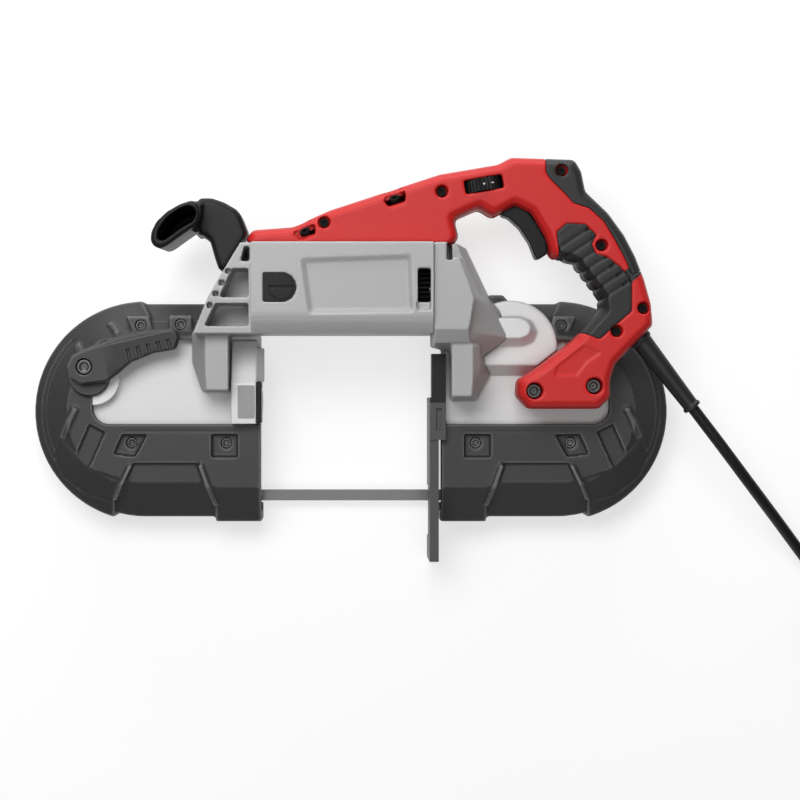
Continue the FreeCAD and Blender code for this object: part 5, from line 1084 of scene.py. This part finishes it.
def slat_tree():
    """Slats side by side along Y, each tilted about X, in front of a back plate."""
    tree, given = new_tree("vent_slats", [("Low", "Vector"), ("High", "Vector"), ("Count", "Int"),
                                          ("Thickness", "Float"), ("Tilt", "Float")])
    size = vector_step(tree, "SUBTRACT", given["High"], given["Low"])
    parts = step(tree, "ShaderNodeSeparateXYZ", {}, Vector=size)
    gap = sum_step(tree, "DIVIDE", parts["Y"], given["Count"])
    pitch = step(tree, "ShaderNodeCombineXYZ", {}, Y=gap)["Vector"]
    first_cell = step(tree, "ShaderNodeCombineXYZ", {}, X=parts["X"], Y=gap, Z=parts["Z"])["Vector"]
    start = vector_step(tree, "ADD", given["Low"], vector_step(tree, "SCALE", first_cell, 1 / 2))
    line = step(tree, "GeometryNodeMeshLine", {}, Count=given["Count"], Start_Location=start,
                Offset=pitch)["Mesh"]
    slat_size = step(tree, "ShaderNodeCombineXYZ", {}, X=parts["X"], Y=given["Thickness"],
                     Z=sum_step(tree, "MULTIPLY", parts["Z"], vent_slat_depth_share))["Vector"]
    slat = step(tree, "GeometryNodeMeshCube", {}, Size=slat_size)["Mesh"]
    turn = step(tree, "ShaderNodeCombineXYZ", {}, X=given["Tilt"])["Vector"]
    slats = step(tree, "GeometryNodeInstanceOnPoints", {}, Points=line, Instance=slat,
                 Rotation=turn)["Instances"]
    plate_size = step(tree, "ShaderNodeCombineXYZ", {}, X=parts["X"], Y=parts["Y"],
                      Z=given["Thickness"])["Vector"]
    plate = step(tree, "GeometryNodeMeshCube", {}, Size=plate_size)["Mesh"]
    back_cell = step(tree, "ShaderNodeCombineXYZ", {}, X=parts["X"], Y=parts["Y"])["Vector"]
    back_place = vector_step(tree, "ADD", given["Low"], vector_step(tree, "SCALE", back_cell, 1 / 2))
    back = step(tree, "GeometryNodeTransform", {}, Geometry=plate, Translation=back_place)["Geometry"]
    both = tree.nodes.new("GeometryNodeJoinGeometry")
    for shape in (slats, back):
        tree.links.new(shape, both.inputs[0])
    end_tree(tree, both.outputs[0], given["Material"])
    return tree


vent_slats = add_object("vent_slats", bpy.data.meshes.new("vent_slats"))
run_tree(vent_slats, slat_tree(), low=vent_low, high=vent_high, count=vent_slat_count,
         thickness=vent_slat_thickness, tilt=vent_slat_tilt, material=finishes["black_plastic"])
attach(vent_slats, nodes["motor_housing"]["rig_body"])


# Work light

def make_light():
    """A black bezel with softened edges, and a low dome of clear lens on the side of the throat."""
    low, high = (Vector(corner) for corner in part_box("led_lens"))
    build = bmesh.new()
    bmesh.ops.create_cube(build, size=1.0)
    seam = low.x + (high.x - low.x) * bezel_share
    for vertex in build.verts:
        vertex.co = Vector((seam if vertex.co.x > 0 else low.x, high.y if vertex.co.y > 0 else low.y,
                            high.z if vertex.co.z > 0 else low.z))
    bmesh.ops.bevel(build, geom=build.edges[:], offset=bezel_edge, segments=bezel_edge_steps, affect="EDGES",
                    profile=0.5)
    middle = (low + high) / 2
    half_y = (high.y - low.y) / 2 - lens_margin
    half_z = (high.z - low.z) / 2 - lens_margin
    window = [(half_y * squared(math.cos(2 * math.pi * k / lens_points)),
               half_z * squared(math.sin(2 * math.pi * k / lens_points))) for k in range(lens_points)]
    loops = []
    for level in range(lens_rings):
        turn = level / lens_rings * math.pi / 2
        x = seam - lens_seat + (high.x - seam - lens_seat) * math.sin(turn)
        loops.append([build.verts.new((x, middle.y + y * math.cos(turn), middle.z + z * math.cos(turn)))
                      for y, z in window])
    for face in skin(build, loops):
        face.material_index = 1
        face.smooth = True
    light = closed_object("work_light_lens", build)
    light.data.materials.append(finishes["black_plastic"])
    light.data.materials.append(finishes["clear_lens"])
    return light


def squared(value):
    """A circle's sine or cosine, squared off for a window with round corners."""
    return math.copysign(abs(value) ** lens_squareness, value)


stands_for(make_light(), "led_lens")


def make_face_plate():
    """A thin bare plate with round corners on the front of the light's housing."""
    build = bmesh.new()
    (low_x, low_y), (high_x, high_y) = face_plate_low, face_plate_high
    outline = []
    corners = ((high_x, high_y), (low_x, high_y), (low_x, low_y), (high_x, low_y))
    for quarter, (corner_x, corner_y) in enumerate(corners):
        middle_x = corner_x - math.copysign(face_plate_corner, corner_x - (low_x + high_x) / 2)
        middle_y = corner_y - math.copysign(face_plate_corner, corner_y - (low_y + high_y) / 2)
        turns = [math.radians(90 * quarter + turn) for turn in face_plate_corner_turns]
        outline += [(middle_x + face_plate_corner * math.cos(turn),
                     middle_y + face_plate_corner * math.sin(turn)) for turn in turns]
    skin(build, [[build.verts.new((x, y, face_plate_z + z)) for x, y in outline]
                 for z in (-face_plate_height, face_plate_height)])
    return closed_object("light_face_plate", build)


face_plate = make_face_plate()
dress(face_plate, "light_grey_plastic")
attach(face_plate, nodes["led_housing"]["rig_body"])


# Speed dial marks

def make_dial_marks():
    """Low pads on the dial's rim, one round and one long."""
    up = Vector((0, 0, 1))
    across = Vector((math.cos(dial_tilt), math.sin(dial_tilt), 0))
    axis = up.cross(across)
    ways = [2 * math.pi * k / dial_mark_sides for k in range(dial_mark_sides)]
    build = bmesh.new()
    for angle, half_across, half_along in dial_marks:
        turn = math.radians(angle)
        out = up * math.cos(turn) + across * math.sin(turn)
        side = across * math.cos(turn) - up * math.sin(turn)
        middle = Vector(dial_centre) + out * dial_radius
        rim = [side * (half_across * math.cos(way)) + axis * (half_along * math.sin(way)) for way in ways]
        loops = []
        for share, rise in dial_mark_ring_shares:
            level = middle + out * (rise * dial_mark_height)
            loops.append([build.verts.new(level + place * share) for place in rim])
        skin(build, loops)
    return closed_object("dial_marks", build)


dial_mark_pads = make_dial_marks()
dress(dial_mark_pads, "mark_paint")
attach(dial_mark_pads, nodes["speed_dial"]["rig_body"])


# Floor and light

floor_mesh = mesh_from("floor", [(-floor_half, -floor_half, 0), (floor_half, -floor_half, 0),
                                 (floor_half, floor_half, 0), (-floor_half, floor_half, 0)], [(0, 1, 2, 3)])
floor = add_object("floor", floor_mesh)


def floor_finish():
    """A pale floor that keeps the shadow and is lifted to white for what looks straight at it."""
    material = bpy.data.materials.new("floor")
    material.use_nodes = True
    tree = material.node_tree
    shader = tree.nodes["Principled BSDF"].inputs
    shader["Base Color"].default_value = (*floor_white, 1)
    shader["Roughness"].default_value = floor_roughness
    shader["Specular IOR Level"].default_value = floor_specular
    shader["Emission Color"].default_value = (1, 1, 1, 1)
    path = tree.nodes.new("ShaderNodeLightPath").outputs
    seen = sum_step(tree, "MAXIMUM", path["Is Camera Ray"], path["Is Glossy Ray"])
    tree.links.new(sum_step(tree, "MULTIPLY", seen, floor_lift), shader["Emission Strength"])
    return material


floor_mesh.materials.append(floor_finish())


def area_light(name, place, target, size, power):
    light_data = bpy.data.lights.new(name, "AREA")
    light_data.shape = "RECTANGLE"
    light_data.size, light_data.size_y = size
    light_data.energy = power
    light = add_object(name, light_data)
    light.location = place
    light.rotation_euler = (Vector(target) - Vector(place)).to_track_quat("-Z", "Y").to_euler()


for name, (place, target, size, power) in lamps.items():
    area_light(name, place, target, size, power)

world = bpy.data.worlds.new("studio")
world.use_nodes = True
world.node_tree.nodes["Background"].inputs["Color"].default_value = (1, 1, 1, 1)
world.node_tree.nodes["Background"].inputs["Strength"].default_value = world_strength
scene.world = world
scene.view_settings.view_transform = "Standard"
